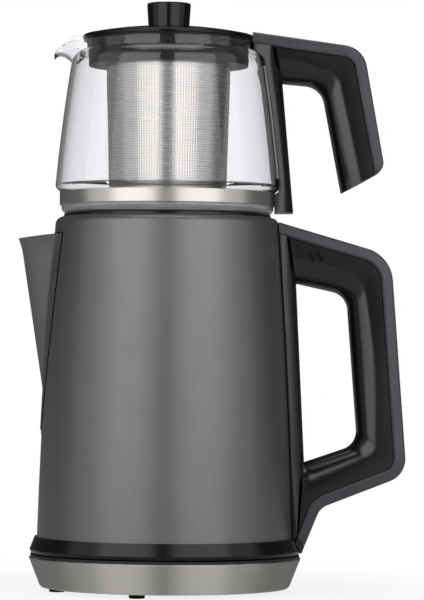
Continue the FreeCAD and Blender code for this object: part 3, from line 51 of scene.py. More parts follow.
def linear(hexColour):               # "#rrggbb" as sRGB, turned to linear with full opacity
    parts = [int(hexColour[k:k + 2], 16) / 255 for k in (1, 3, 5)]
    return tuple(p / 12.92 if p <= 0.04045 else ((p + 0.055) / 1.055) ** 2.4 for p in parts) + (1.0,)


def addObject(name, data):
    thing = bpy.data.objects.new(name, data)
    bpy.context.scene.collection.objects.link(thing)
    return thing


def emptyTree(owner):                # the cleared node tree of a material or a world
    owner.use_nodes = True
    owner.node_tree.nodes.clear()
    return owner.node_tree


def addNode(tree, kind, inputs=None, **settings):
    node = tree.nodes.new(kind)
    for name, value in settings.items():
        setattr(node, name, value)
    for name, value in (inputs or {}).items():
        if isinstance(value, bpy.types.NodeSocket):
            tree.links.new(value, node.inputs[name])
        else:
            node.inputs[name].default_value = value
    return node


def newMaterial(name, shader):       # a material of one shader, whose constant inputs are given
    material = bpy.data.materials.new(name)
    tree = emptyTree(material)
    surface = addNode(tree, "ShaderNodeBsdfPrincipled", shader)
    addNode(tree, "ShaderNodeOutputMaterial", {"Surface": surface.outputs[0]})
    return material, tree, surface


def noiseBetween(tree, perMetre, low, high, detail=2.0, roughness=0.5):
    # noise from low to high on object coordinates centred on the axis: perMetre is 1000 over the size of
    # a patch in mm, along x, y and z, so 25 draws patches of 40 mm
    where = addNode(tree, "ShaderNodeTexCoord").outputs["Object"]
    point = addNode(tree, "ShaderNodeMapping", {"Vector": where, "Location": (-axisX * perMetre[0], 0, 0),
                                                "Scale": perMetre}).outputs[0]
    noise = addNode(tree, "ShaderNodeTexNoise", {"Vector": point, "Scale": 1.0, "Detail": detail,
                                                 "Roughness": roughness})
    spread = addNode(tree, "ShaderNodeMapRange", {"Value": noise.outputs[0], "From Min": 0.3, "From Max": 0.7,
                                                  "To Min": low, "To Max": high})
    return spread.outputs[0]


def varySurface(tree, surface, colour, tone, rough):   # colour made darker or lighter by tone, and roughness
    toned = addNode(tree, "ShaderNodeHueSaturation", {"Color": linear(colour), "Value": tone})
    tree.links.new(toned.outputs[0], surface.inputs["Base Color"])
    tree.links.new(rough, surface.inputs["Roughness"])


# Materials

lacquer = {"colour": "#7f807f", "metallic": 0.85, "roughness": 0.4, "flakeSize": 0.5}


def metallicLacquer():
    # anthracite metallic lacquer sprayed on steel: wide soft highlights and a faint flake, drawn coarser
    # than the real one so that it shows, over clouds of 40 mm
    material, tree, surface = newMaterial("anthracite metallic lacquer", {
        "Metallic": lacquer["metallic"], "Coat Weight": 0.25, "Coat Roughness": 0.3})
    fine = 1000 / lacquer["flakeSize"]
    flake = noiseBetween(tree, (fine, fine, fine), 0.93, 1.07, 1.0)
    cloud = noiseBetween(tree, (25, 25, 25), 0.97, 1.03)
    tone = addNode(tree, "ShaderNodeMath", {0: flake, 1: cloud}, operation="MULTIPLY").outputs[0]
    rough = noiseBetween(tree, (60, 60, 60), lacquer["roughness"] - 0.02, lacquer["roughness"] + 0.02)
    varySurface(tree, surface, lacquer["colour"], tone, rough)
    return material


def brushedSteel(name, colour, roughness, streak, across, along, depth, pull=0.0):
    # metal brushed or rolled in lines: streaks are streak mm wide across one direction, wider than real
    # ones so that they show, depth mm deep, and drawn out to along per metre in the other two;
    # pull draws each highlight out square to level lines
    material, tree, surface = newMaterial(name, {"Metallic": 1.0, "Anisotropic": pull})
    perMetre = tuple(1000 / streak if k == across else along for k in range(3))
    lines = noiseBetween(tree, perMetre, 0.0, 1.0, 3.0, 0.6)
    tone = addNode(tree, "ShaderNodeMapRange", {"Value": lines, "To Min": 0.88, "To Max": 1.1}).outputs[0]
    rough = addNode(tree, "ShaderNodeMapRange", {"Value": lines, "To Min": roughness - 0.05,
                                                 "To Max": roughness + 0.07}).outputs[0]
    varySurface(tree, surface, colour, tone, rough)
    relief = addNode(tree, "ShaderNodeBump", {"Height": lines, "Distance": depth * millimetre})
    tree.links.new(relief.outputs[0], surface.inputs["Normal"])
    upwards = addNode(tree, "ShaderNodeCombineXYZ", {"Z": 1.0}).outputs[0]
    tree.links.new(upwards, surface.inputs["Tangent"])
    return material


def mouldedPlastic(name, colour, roughness, grain, depth, gloss=0.5):
    # injection moulded plastic: an even fine grain, grain mm across and depth mm deep, with patches of
    # 22 to 33 mm where tone and gloss change a little
    material, tree, surface = newMaterial(name, {"IOR": 1.5, "Specular IOR Level": gloss})
    fine = 1000 / grain
    bumps = noiseBetween(tree, (fine, fine, fine), 0.0, 1.0, 1.0)
    rough = noiseBetween(tree, (30, 30, 30), roughness - 0.03, roughness + 0.03)
    tone = noiseBetween(tree, (45, 45, 45), 0.93, 1.07)
    varySurface(tree, surface, colour, tone, rough)
    relief = addNode(tree, "ShaderNodeBump", {"Height": bumps, "Distance": depth * millimetre})
    tree.links.new(relief.outputs[0], surface.inputs["Normal"])
    return material


def clearGlass():
    # blown borosilicate glass: clear and smooth, with a faint film, and grey where one looks along its wall
    material, tree, surface = newMaterial("borosilicate glass", {
        "Base Color": linear("#fdfdff"), "Transmission Weight": 1.0, "IOR": 1.47})
    tree.links.new(noiseBetween(tree, (18, 18, 30), 0.0, 0.012), surface.inputs["Roughness"])
    depth = addNode(tree, "ShaderNodeVolumeAbsorption", {"Color": linear("#c8c8ce"), "Density": 16.0})
    output = next(node for node in tree.nodes if node.type == "OUTPUT_MATERIAL")
    tree.links.new(depth.outputs[0], output.inputs["Volume"])
    return material


def pressedGlass():                  # pressed soda glass with a ground seat: clear, but a little milky
    material, tree, surface = newMaterial("pressed glass", {"Transmission Weight": 0.78, "IOR": 1.5})
    tone = noiseBetween(tree, (60, 60, 200), 0.94, 1.06)
    rough = noiseBetween(tree, (40, 40, 120), 0.05, 0.14)
    varySurface(tree, surface, "#e9eaec", tone, rough)
    return material


def siliconeRubber():                # moulded clear grey silicone: soft sheen, lets a little light through
    material, tree, surface = newMaterial("silicone rubber", {
        "IOR": 1.41, "Transmission Weight": 0.35})
    tone = noiseBetween(tree, (90, 90, 90), 0.94, 1.04)
    rough = noiseBetween(tree, (70, 70, 70), 0.38, 0.46)
    varySurface(tree, surface, "#b9bab8", tone, rough)
    return material


finishes = {
    # matt and nearly black, with hardly any highlight
    "rubber_pad": mouldedPlastic("moulded EPDM rubber", "#0a0a0b", 0.8, 0.5, 0.03, 0.2),
    # fine grain under a broad dim highlight
    "base_plastic": mouldedPlastic("black polypropylene", "#1c1c1e", 0.5, 0.4, 0.02),
    # lines run level round the ring, so light is drawn out upwards
    "trim_steel": brushedSteel("brushed stainless ring", "#f2efea", 0.55, 0.12, 2, 25, 0.003, 0.97),
    # dull silver, faintly streaked
    "screw_steel": brushedSteel("zinc plated steel", "#c4c4c0", 0.35, 0.3, 0, 300, 0.004),
    # warm yellow metal with rolling marks
    "contact_brass": brushedSteel("stamped brass", "#c9a45c", 0.3, 0.2, 2, 200, 0.004),
    # deep black with clear reflections
    "gloss_black": mouldedPlastic("polished black ABS", "#08080a", 0.2, 3.0, 0.002),
    "body_paint": metallicLacquer(),
    # soft even sheen on pale steel
    "inner_steel": brushedSteel("satin stainless", "#dedbd6", 0.24, 0.15, 2, 40, 0.001),
    # greyer and softer than the steel
    "diffuser_aluminium": brushedSteel("rolled aluminium", "#cfd0d2", 0.4, 0.3, 0, 30, 0.004),
    "silicone": siliconeRubber(),
    # black with a bright line of light along its crown
    "handle_black": mouldedPlastic("satin black PP", "#0d0d0f", 0.19, 0.35, 0.004, 0.9),
    # even dark grey with a weak highlight
    "handle_grey": mouldedPlastic("satin dark grey ABS", "#46464b", 0.27, 0.35, 0.005, 0.3),
    # smooth deep red
    "lens_plastic": mouldedPlastic("red polycarbonate", "#8c1a10", 0.12, 2.0, 0.002),
    # bright, with faint level lines
    "polished_steel": brushedSteel("fine brushed bright stainless", "#f0ece7", 0.34, 0.1, 2, 20, 0.002, 0.6),
    "pot_glass": clearGlass(),
    # dull dark grey behind the glass
    "collar_plastic": mouldedPlastic("satin dark grey PP", "#151517", 0.36, 0.35, 0.01, 0.25),
    "clear_bond": siliconeRubber(),
}
# nodes whose finish isn't their slot's: the milky foot, and the lid, less glossy than the kettle's skirt
lidPlastic = mouldedPlastic("lightly polished black PP", "#08080a", 0.2, 3.0, 0.002, 0.36)
ownFinishes = {"teapot_foot": pressedGlass(), "lid_dome": lidPlastic, "lid_skirt_ring": lidPlastic}
for part in frame["record"]["subparts"]:
    thing = nodes[part["node"]]
    thing.data.materials.clear()
    thing.data.materials.append(ownFinishes.get(part["node"], finishes[part["material_slot"]]))
print("materials made:", len(finishes) + len(set(ownFinishes.values())))


# Shapes shared by the pieces, all in millimetres from the appliance's axis

def arcSide(low, middle, high):      # radius at a height on the arc through three (radius, height) points
    ax, az = middle[0] - low[0], middle[1] - low[1]
    bx, bz = high[0] - low[0], high[1] - low[1]
    d = 2 * (ax * bz - az * bx)
    a2, b2 = ax * ax + az * az, bx * bx + bz * bz
    centre, level = low[0] + (bz * a2 - az * b2) / d, low[1] + (ax * b2 - bx * a2) / d
    size = math.hypot(centre - low[0], level - low[1])
    return lambda z, gap=0.0: centre + math.sqrt((size + gap) ** 2 - (z - level) ** 2)


kettleFoot, kettleTop = 31.8, 215.0  # heights between which the kettle's side runs
glassFoot, glassTop = 238.9, 311.0   # and the side of the teapot's glass
kettleSide = arcSide((75.4, kettleFoot), (71.7, 123.4), (66.0, kettleTop))
glassSide = arcSide((66.1, glassFoot), (62.25, 274.95), (57.2, glassTop))
core = 1.0                           # inner radius of a cutter turned round the axis
pinhole = 0.01                       # what stands for no radius at all in a turned disc


def newPiece(name, points, faces, slot):
    mesh = bpy.data.meshes.new(name)
    placed = [(axisX + x * millimetre, y * millimetre, z * millimetre) for x, y, z in points]
    mesh.from_pydata(placed, [], faces)
    shell = bmesh.new()
    shell.from_mesh(mesh)
    bmesh.ops.remove_doubles(shell, verts=shell.verts, dist=weldGap)
    bmesh.ops.recalc_face_normals(shell, faces=shell.faces)
    shell.to_mesh(mesh)
    shell.free()
    piece = addObject(name, mesh)
    mesh.materials.append(finishes[slot])
    return piece


def bakeModifiers(piece):
    depsgraph = bpy.context.evaluated_depsgraph_get()
    mesh = bpy.data.meshes.new_from_object(piece.evaluated_get(depsgraph))
    piece.modifiers.clear()
    piece.data = mesh


def settle(piece, angle=35, even=False):    # modifiers made real, and edges sharper than the angle kept crisp
    bakeModifiers(piece)
    piece.data.shade_smooth()
    piece.data.set_sharp_from_angle(angle=math.radians(angle))
    if even:                         # large flat faces keep their own light beside a rounded edge
        weighted = piece.modifiers.new("even", "WEIGHTED_NORMAL")
        weighted.keep_sharp = True
        bakeModifiers(piece)


def cutWith(piece, cutters):         # each cutter is taken away from the piece
    for cutter in cutters:
        cut = piece.modifiers.new("cut", "BOOLEAN")
        cut.operation = "DIFFERENCE"
        cut.solver = "EXACT"
        cut.object = cutter
    settle(piece)
    for cutter in cutters:
        bpy.data.objects.remove(cutter)


def joinPieces(name, pieces):        # several closed shells as one object
    shells = bmesh.new()
    for piece in pieces:
        shells.from_mesh(piece.data)
    mesh = pieces[0].data.copy()
    shells.to_mesh(mesh)
    shells.free()
    whole = addObject(name, mesh)
    for piece in pieces:
        bpy.data.objects.remove(piece)
    return whole


def ringFaces(here, after, count):   # faces between two rings of count points, from their first numbers
    return [(here + j, after + j, after + (j + 1) % count, here + (j + 1) % count) for j in range(count)]


def prismFaces(count):               # both ends and the sides of two outlines of count points
    faces = [tuple(range(count)), tuple(range(2 * count - 1, count - 1, -1))]
    return faces + [(k, (k + 1) % count, count + (k + 1) % count, count + k) for k in range(count)]


def turnedPiece(name, outline, slot, segments=180):    # closed (radius, height) outline turned round the axis
    points, faces = [], []
    count = len(outline)
    for k in range(segments):
        turn = 2 * math.pi * k / segments
        points += [(r * math.cos(turn), r * math.sin(turn), z) for r, z in outline]
        faces += ringFaces(k * count, (k + 1) % segments * count, count)
    return newPiece(name, points, faces, slot)


def slabPiece(name, outline, half, slot):              # a closed (x, z) outline made solid from -half to half
    points = [(x, -half, z) for x, z in outline] + [(x, half, z) for x, z in outline]
    return newPiece(name, points, prismFaces(len(outline)), slot)


def rodPiece(name, start, end, radius, slot, segments=24):
    along = (Vector(end) - Vector(start)).normalized()
    side = along.orthogonal().normalized()
    other = along.cross(side)
    ring = [(side * math.cos(t) + other * math.sin(t)) * radius
            for t in (2 * math.pi * k / segments for k in range(segments))]
    points = [tuple(Vector(start) + r) for r in ring] + [tuple(Vector(end) + r) for r in ring]
    return newPiece(name, points, prismFaces(segments), slot)


def roundedRuns(corners):            # straight runs and corner arcs of an (x, z, radius) path, in their order
    runs = []
    here = Vector(corners[0][:2])
    for before, corner, after in zip(corners, corners[1:], corners[2:]):
        point = Vector(corner[:2])
        a = (Vector(before[:2]) - point).normalized()
        b = (Vector(after[:2]) - point).normalized()
        half = a.angle(b) / 2
        start, end = point + a * corner[2] / math.tan(half), point + b * corner[2] / math.tan(half)
        centre = point + (a + b).normalized() * corner[2] / math.sin(half)
        runs.append(lambda t, p=here, q=start: p.lerp(q, t))
        runs.append(lambda t, c=centre, p=start, q=end, r=corner[2]:
                    c + (p - c).slerp(q - c, t).normalized() * r)
        here = end
    last = Vector(corners[-1][:2])
    runs.append(lambda t, p=here, q=last: p.lerp(q, t))
    return runs


def alongRuns(runs, counts):         # points spread over the runs, count steps in each
    points = [runs[0](0.0)]
    for run, count in zip(runs, counts):
        points += [run((k + 1) / count) for k in range(count)]
    return points


def movedIn(corners, distance):      # the path moved to its right, corner radii adjusted
    lines = []
    for p, q in zip(corners, corners[1:]):
        along = (Vector(q[:2]) - Vector(p[:2])).normalized()
        lines.append((Vector(p[:2]) + Vector((along.y, -along.x)) * distance, along))
    moved = [tuple(lines[0][0])]
    for (p, u), (q, v), corner in zip(lines, lines[1:], corners[1:]):
        cross = u.cross(v)
        step = (q - p).cross(v) / cross
        moved.append(tuple(p + u * step) + (corner[2] + (distance if cross > 0 else -distance),))
    along = lines[-1][1]
    moved.append(tuple(Vector(corners[-1][:2]) + Vector((along.y, -along.x)) * distance))
    return moved


def sideOutline(side, gap, low, high, steps):          # (radius, height) points gap outside a body's side
    return [(side(z, gap), z) for z in (low + (high - low) * k / steps for k in range(steps + 1))]


def seamPoint(x, path):              # height of the seam's first run over x
    return path[0][1] + (x - path[0][0]) * (path[1][1] - path[0][1]) / (path[1][0] - path[0][0])


# A grip is swept along two lines: its seam under the cover strip, and the edge that the fingers hold.
# Each section is flat beside the seam and crowned towards the fingers.

def crownedGrip(name, seam, edge, grip):
    steps, half, groove = grip["crownSteps"], grip["half"], grip["groove"]
    deep, power = half - grip["grooveDepth"], 2 / grip["fullness"]
    points, faces = [], []
    for outer, inner in zip(seam, edge):
        length = (outer - inner).length
        side = (outer - inner) / length
        wide = min(grip["crown"], length - groove - grip["flat"])
        section = [(length, deep), (length - groove, deep), (length - groove, half)]
        for k in range(steps, 0, -1):
            turn = math.pi / 2 * k / steps
            section.append((wide * (1 - max(0.0, math.cos(turn)) ** power), half * math.sin(turn) ** power))
        mirrored = [(d, -y) for d, y in reversed(section)]
        for d, y in section + [(0.0, 0.0)] + mirrored:
            spot = inner + side * d
            points.append((spot.x, y, spot.y))
    count = 2 * len(section) + 1
    rows = len(points) // count
    for row in range(rows - 1):
        here, after = row * count, (row + 1) * count
        faces += [(here + j, here + (j + 1) % count, after + (j + 1) % count, after + j)
                  for j in range(count)]
    faces += [tuple(range(count)), tuple(range(rows * count - 1, (rows - 1) * count - 1, -1))]
    return newPiece(name, points, faces, "handle_black")


# A pillar stands along the body: a facet turned a little to the body, a flat one, and a steep one to the
# fingers, so each row has five columns on either side.

pillarShape = {"facetShare": 0.66, "steepShare": 0.3, "underSeam": 0.05, "steps": 48, "rounds": 6}


def facetedPillar(name, grip, edgeOf, seamPath):
    ridge, steps, half, embed = grip["ridge"], pillarShape["steps"], grip["pillarHalf"], grip["embed"]
    bottom = ridge[0][1]

    def ridgeAt(z):
        for (x0, z0), (x1, z1) in zip(ridge, ridge[1:]):
            if z <= z1:
                return x0 + (x1 - x0) * (z - z0) / (z1 - z0)
        return ridge[-1][0]

    points, columns = [], 5
    for k in range(steps + 1):
        row = []
        for column in range(columns):
            z = bottom
            # a column's place and the height of its top depend on each other, so both are found in rounds
            for _ in range(pillarShape["rounds"]):
                edge, right = edgeOf(z), ridgeAt(z)
                wide = right - edge
                near = min(grip["facet"], wide * pillarShape["facetShare"])
                steep = min(grip["steep"], wide * pillarShape["steepShare"])
                x = (edge - embed, edge, edge + near, right - steep, right)[column]
                z = bottom + (seamPoint(x, seamPath) - pillarShape["underSeam"] - bottom) * k / steps
            lean = grip["facetDrop"]
            drop = (lean * (1 + embed / near), lean, 0, 0, grip["steepDrop"])[column]
            row.append((x, half - drop, z))
        points += row + [(x, -y, z) for x, y, z in reversed(row)]
    count = 2 * columns
    faces = [tuple(range(count)), tuple(range(count * steps + count - 1, count * steps - 1, -1))]
    for k in range(steps):
        faces += ringFaces(count * k, count * (k + 1), count)
    return newPiece(name, points, faces, "handle_black")


def edgeBeside(side, low, high, gap, half):            # x by height where a body's side meets a grip's flank
    return lambda z: math.sqrt(side(min(max(z, low), high), gap) ** 2 - half ** 2)


def screwCutter(grip, seat, height):
    return rodPiece("screwHole", (seat, 0, height), (seat + grip["screwDepth"], 0, height), grip["screwHole"],
                    "handle_black", segments=48)


# Both grips: path is the outside of the cover strip and strip how thick that is, edge is what the fingers
# hold, ridge is the pillar's outer edge upwards, and half is half a width. Corners are (x, z, radius).
# cut... is the round shape of the body that the pillar is cut back to.

# The kettle's handle grip

kettleGrip = {
    "path": [(57.4, 219.6), (131.7, 198.1, 21.0), (141.55, 69.6, 14.0), (91.1, 49.8, 10.0), (77.0, 15.2)],
    "edge": [(76.0, 181.3), (105.8, 174.8, 11.5), (112.7, 87.1, 11.0), (81.4, 76.3)],
    "ridge": [(76.8, 30.6), (78.6, 36.0), (81.4, 76.3), (76.0, 181.3), (72.0, 208.0)],
    "strip": 6.6, "half": 12.8, "runSteps": [14, 14, 16, 12, 10], "tailSteps": [8, 8],
    "crown": 16.0, "fullness": 2.0, "flat": 0.5, "crownSteps": 12, "groove": 1.1, "grooveDepth": 3.0,
    "pillarHalf": 13.5, "facet": 5.6, "facetDrop": 0.9, "steep": 2.0, "steepDrop": 3.2, "embed": 6.0,
    "gasket": 1.0, "cutFoot": 24.0, "cutTop": 214.9, "cutPast": 1.0, "cutSteps": 24,
    "screwHeights": (92.0, 168.0), "screwSeat": 4.3, "screwHole": 3.8, "screwDepth": 12,
    "ventsX": (84.5, 89.4), "ventZ": 196.8, "ventReach": 1.9, "ventRadius": 1.25, "ventTilt": 27.0,
    "ventIn": 4.4, "ventOut": 2.0,
    "cavityX": 93.0, "cavityReach": 17.1, "cavityTop": -1.0, "cavityFloor": 15.0, "cavityHalf": 8.2,
}


def ventCutters(grip):               # five round holes in a slanted row make each slot
    lean = math.radians(grip["ventTilt"])
    vents = []
    for x in grip["ventsX"]:
        for side in (-1, 1):
            for part in (-1, -0.5, 0, 0.5, 1):
                dx = grip["ventReach"] * part * math.sin(lean)
                z = grip["ventZ"] + grip["ventReach"] * part * math.cos(lean)
                vents.append(rodPiece("vent", (x - dx, side * (grip["half"] - grip["ventIn"]), z),
                                      (x - dx, side * (grip["half"] + grip["ventOut"]), z),
                                      grip["ventRadius"], "rubber_pad"))
    return vents


def cavityCutter(grip, path):        # room for the switch, a box laid under the seam's first run
    along = (Vector(path[1][:2]) - Vector(path[0][:2])).normalized()
    down = Vector((along.y, -along.x))
    spot = Vector((grip["cavityX"], seamPoint(grip["cavityX"], path)))
    reach, above, below = grip["cavityReach"], grip["cavityTop"], grip["cavityFloor"]
    outline = [tuple(spot - along * reach + down * above), tuple(spot - along * reach + down * below),
               tuple(spot + along * reach + down * below), tuple(spot + along * reach + down * above)]
    return slabPiece("cavity", outline, grip["cavityHalf"], "handle_black")


def makeKettleGrip():
    grip = kettleGrip
    seamPath = movedIn(grip["path"], grip["strip"])
    foot, ridgeX = grip["ridge"][1], grip["ridge"][-1][0]
    seamRuns = roundedRuns([(ridgeX, seamPoint(ridgeX, seamPath))] + seamPath[1:-1] + [foot])
    seam = alongRuns(seamRuns, grip["runSteps"] + grip["tailSteps"])
    edge = alongRuns(roundedRuns(grip["edge"]), grip["runSteps"])
    edge += [edge[-1]] * sum(grip["tailSteps"])
    crown = crownedGrip("kettleCrown", seam, edge, grip)
    cutWith(crown, ventCutters(grip) + [cavityCutter(grip, seamPath)])
    edgeOf = edgeBeside(kettleSide, kettleFoot, kettleTop, grip["gasket"], grip["half"])
    pillar = facetedPillar("kettlePillar", grip, edgeOf, seamPath)
    low, high, past = grip["cutFoot"], grip["cutTop"], grip["cutPast"]
    outline = sideOutline(kettleSide, grip["gasket"], low, high, grip["cutSteps"])
    cutters = [turnedPiece("bodyRound", outline + [(core, high + past), (core, low - past)], "handle_black")]
    for height in grip["screwHeights"]:
        cutters.append(screwCutter(grip, kettleSide(height) + grip["screwSeat"], height))
    cutWith(pillar, cutters)
    whole = joinPieces("kettleGrip", [crown, pillar])
    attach(whole, "kettle")
    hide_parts("kettle_handle_grip")


# The teapot's handle grip

teapotGrip = {
    "path": [(36.7, 330.7), (114.7, 320.1, 15.0), (127.6, 248.8, 7.26), (102.1, 234.6)],
    "edge": [(67.1, 299.1), (90.1, 297.1, 12.3), (102.1, 234.6)],
    "ridge": [(74.0, 222.9), (67.1, 299.1), (63.4, 318.0)],
    "strip": 6.6, "half": 12.8, "runSteps": [12, 14, 20],
    "crown": 16.0, "fullness": 2.0, "flat": 0.5, "crownSteps": 12, "groove": 1.1, "grooveDepth": 3.0,
    "pillarHalf": 13.5, "facet": 3.0, "facetDrop": 0.8, "steep": 2.8, "steepDrop": 3.4, "embed": 12.0,
    "bond": 0.8, "cutFoot": 200.0, "bandRadius": 63.6, "bandTop": 234.5, "ledgeTop": 235.3, "cutSteps": 16,
    "shoulderFoot": 312.6, "shoulderTop": 320.0, "lidRadius": 51.2, "cutTop": 360.0,
    "screwHeight": 230.6, "screwSeat": 67.9, "screwHole": 3.8, "screwDepth": 20,
}


def makeTeapotGrip():
    grip = teapotGrip
    seamPath = movedIn(grip["path"][:3], grip["strip"])
    tip, heel = Vector(grip["path"][3]), Vector(grip["path"][2][:2])
    a, b = Vector(seamPath[1][:2]), Vector(seamPath[2][:2])
    step = (heel - a).cross(tip - heel) / (b - a).cross(tip - heel)
    stripEnd = a + (b - a) * step    # where the seam meets the cut across the handle's lower end
    ridgeX = grip["ridge"][-1][0]
    seamRuns = roundedRuns([(ridgeX, seamPoint(ridgeX, seamPath)), seamPath[1], tuple(stripEnd)])
    seam = alongRuns(seamRuns, grip["runSteps"])
    edge = alongRuns(roundedRuns(grip["edge"]), grip["runSteps"])
    crown = crownedGrip("teapotCrown", seam, edge, grip)
    settle(crown)
    bond = grip["bond"]
    edgeOf = edgeBeside(glassSide, glassFoot, glassTop, bond, grip["half"])
    pillar = facetedPillar("teapotPillar", grip, edgeOf, seamPath)
    low, high, band, lid = grip["cutFoot"], grip["cutTop"], grip["bandRadius"] + bond, grip["lidRadius"]
    outline = [(core, low), (band, low), (band, grip["bandTop"] - bond),
               (glassSide(glassFoot, bond), grip["ledgeTop"])]
    outline += sideOutline(glassSide, bond, glassFoot, glassTop, grip["cutSteps"])
    outline += [(glassSide(glassTop, bond), grip["shoulderFoot"]), (lid, grip["shoulderTop"]), (lid, high),
                (core, high)]
    cutWith(pillar, [turnedPiece("potRound", outline, "handle_black"),
                     screwCutter(grip, grip["screwSeat"], grip["screwHeight"])])
    whole = joinPieces("teapotGrip", [crown, pillar])
    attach(whole, "teapot")
    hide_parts("teapot_handle_grip")


# A cover strip is its CAD solid with the sides sloped a little towards the outside.

strips = {"slope": 1.5, "depth": 6.6, "sideFrom": 12.0, "runSteps": 12}


def fromLine(spot, line):            # distance of a spot from a line of points
    gaps = []
    for a, b in zip(line, line[1:]):
        along = b - a
        share = min(1.0, max(0.0, (spot - a).dot(along) / along.length_squared))
        gaps.append((spot - a - along * share).length)
    return min(gaps)


def slopedStrip(name, node, body, path):
    mesh = nodes[node].data.copy()
    shell = bmesh.new()
    shell.from_mesh(mesh)
    bmesh.ops.remove_doubles(shell, verts=shell.verts, dist=weldGap)
    runs = roundedRuns(path)
    outside = alongRuns(runs, [strips["runSteps"]] * len(runs))
    for corner in shell.verts:
        if abs(corner.co.y) > strips["sideFrom"] * millimetre:
            away = fromLine(Vector(((corner.co.x - axisX) / millimetre, corner.co.z / millimetre)), outside)
            drop = strips["slope"] * max(0.0, 1 - away / strips["depth"]) * millimetre
            corner.co.y = math.copysign(abs(corner.co.y) - drop, corner.co.y)
    shell.to_mesh(mesh)
    shell.free()
    mesh.materials.clear()
    mesh.materials.append(finishes["handle_grey"])
    piece = addObject(name, mesh)
    settle(piece, angle=25, even=True)
    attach(piece, body)
    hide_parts(node)


makeKettleGrip()
makeTeapotGrip()
slopedStrip("kettleStrip", "kettle_handle_cover", "kettle", kettleGrip["path"])
slopedStrip("teapotStrip", "teapot_handle_cover", "teapot", teapotGrip["path"])
print("handles made")


# The kettle's spout: one pressed sheet, a flange that follows the kettle's side with the spout drawn out
# of it. Levels are heights, reaches are distances from the axis, and the powers crowd rows and columns.

spout = {
    "flangeLow": 92.0, "flangeTop": 209.3, "flangeHalf": 28.2, "flangeSheet": 0.9, "sheet": 1.1,
    "footLevel": 97.0, "lipLevel": 201.8, "tipLevel": 206.8, "lipBend": 5.0,
    "footReach": 69.6, "lipReach": 85.7, "tipReach": 87.75,
    "lean": 42.0, "noseHalf": 2.8, "noseDepth": 10, "roundness": 1.4, "fillet": 0.012, "rimDrop": 2.5,
    "leastRise": 0.05, "across": 64, "up": 60, "acrossPower": 1.25, "upPower": 1.3, "firstRow": 0.02,
}


def spoutReach(z):                   # how far the spout's front edge stands from the axis
    slope = (spout["lipReach"] - spout["footReach"]) / (spout["lipLevel"] - spout["footLevel"])
    straight = spout["footReach"] + (z - spout["footLevel"]) * slope
    bend = spout["lipBend"]
    turn = max(0.0, (z - spout["lipLevel"] + bend) / (spout["tipLevel"] - spout["lipLevel"] + bend))
    extra = spout["tipReach"] - spout["footReach"] - (spout["tipLevel"] - spout["footLevel"]) * slope
    return straight + extra * turn ** 2


def spoutRise(s, z):                 # height of the sheet over the kettle's side
    depth = spoutReach(z) - kettleSide(z) - spout["flangeSheet"]
    if depth < spout["leastRise"]:
        return 0.0
    nose = spout["noseHalf"] * min(1.0, math.sqrt(depth / spout["noseDepth"]))
    wide = depth * math.tan(math.radians(spout["lean"])) + nose
    share = 1 - (abs(s) / wide) ** spout["roundness"]
    return depth * (share + math.sqrt(share * share + spout["fillet"])) / (1 + math.sqrt(1 + spout["fillet"]))


def makeSpout():
    points, faces = [], []
    across, up, first = spout["across"], spout["up"], spout["firstRow"]
    low, top, half = spout["flangeLow"], spout["flangeTop"], spout["flangeHalf"]
    for j in range(up + 1):
        for k in range(across + 1):
            u = 2 * k / across - 1
            u = math.copysign(abs(u) ** spout["acrossPower"], u)   # columns crowd towards the nose
            crest = spoutRise(u * half, top) / spoutRise(0.0, top)
            high = top - spout["rimDrop"] * crest
            level = low + (high - low) * (first + (1 - first) * (j / up) ** spout["upPower"])
            s = u * half * math.sqrt((level - low) / (top - low))
            reach = kettleSide(level) + spout["flangeSheet"] + spoutRise(s, level)
            turn = s / kettleSide(level)
            flat = kettleSide(level) + spout["flangeSheet"]
            x = -(flat * math.cos(turn) + (reach - flat))
            points.append((x, flat * math.sin(turn), level))
    for j in range(up):
        row = j * (across + 1)
        faces += [(row + k, row + across + 1 + k, row + across + 2 + k, row + k + 1) for k in range(across)]
    piece = newPiece("kettleSpout", points, faces, "body_paint")
    if piece.data.polygons[len(piece.data.polygons) // 2].normal.x > 0:
        piece.data.flip_normals()
    wall = piece.modifiers.new("wall", "SOLIDIFY")
    wall.thickness = spout["sheet"] * millimetre
    wall.offset = -1
    settle(piece, angle=50)
    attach(piece, "kettle")
    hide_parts("kettle_spout")


# A black strip all along the flange's edge: painted shadow standing for the thin shadow gap under the raised
# edge

spoutSeam = {"width": 0.75, "over": 0.35, "under": 0.6, "sideSteps": 40, "topSteps": 16}


def makeSpoutSeam():
    low, top, half = spout["flangeLow"], spout["flangeTop"], spout["flangeHalf"]
    steps, topSteps = spoutSeam["sideSteps"], spoutSeam["topSteps"]
    side = [(half * math.sqrt(k / steps), low + (top - low) * k / steps) for k in range(steps + 1)]
    edge = [Vector((-s, z)) for s, z in side]
    edge += [Vector((half * (2 * k / topSteps - 1), top)) for k in range(1, topSteps)]
    edge += [Vector((s, z)) for s, z in reversed(side[1:])]
    width, over, under = spoutSeam["width"], spoutSeam["over"], -spoutSeam["under"]
    section = ((under, under), (width, under), (width, over), (under, over))
    points, faces, corners = [], [], len(section)
    for k, spot in enumerate(edge):
        along = (edge[(k + 1) % len(edge)] - edge[k - 1]).normalized()
        out = Vector((-along.y, along.x))
        for reach, gap in section:
            s, z = spot + out * reach
            radius, turn = kettleSide(z, gap), s / kettleSide(z)
            points.append((-radius * math.cos(turn), radius * math.sin(turn), z))
        faces += ringFaces(k * corners, (k + 1) % len(edge) * corners, corners)
    # the strip takes the black rubber finish: painted shadow along the flange's edge, not a real seal
    piece = newPiece("spoutSeam", points, faces, "rubber_pad")
    settle(piece, angle=40)
    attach(piece, "kettle")


makeSpout()
makeSpoutSeam()
print("spout made")


# The infuser basket: a cone of perforated sheet with a plain border, closed by a floor and a rim

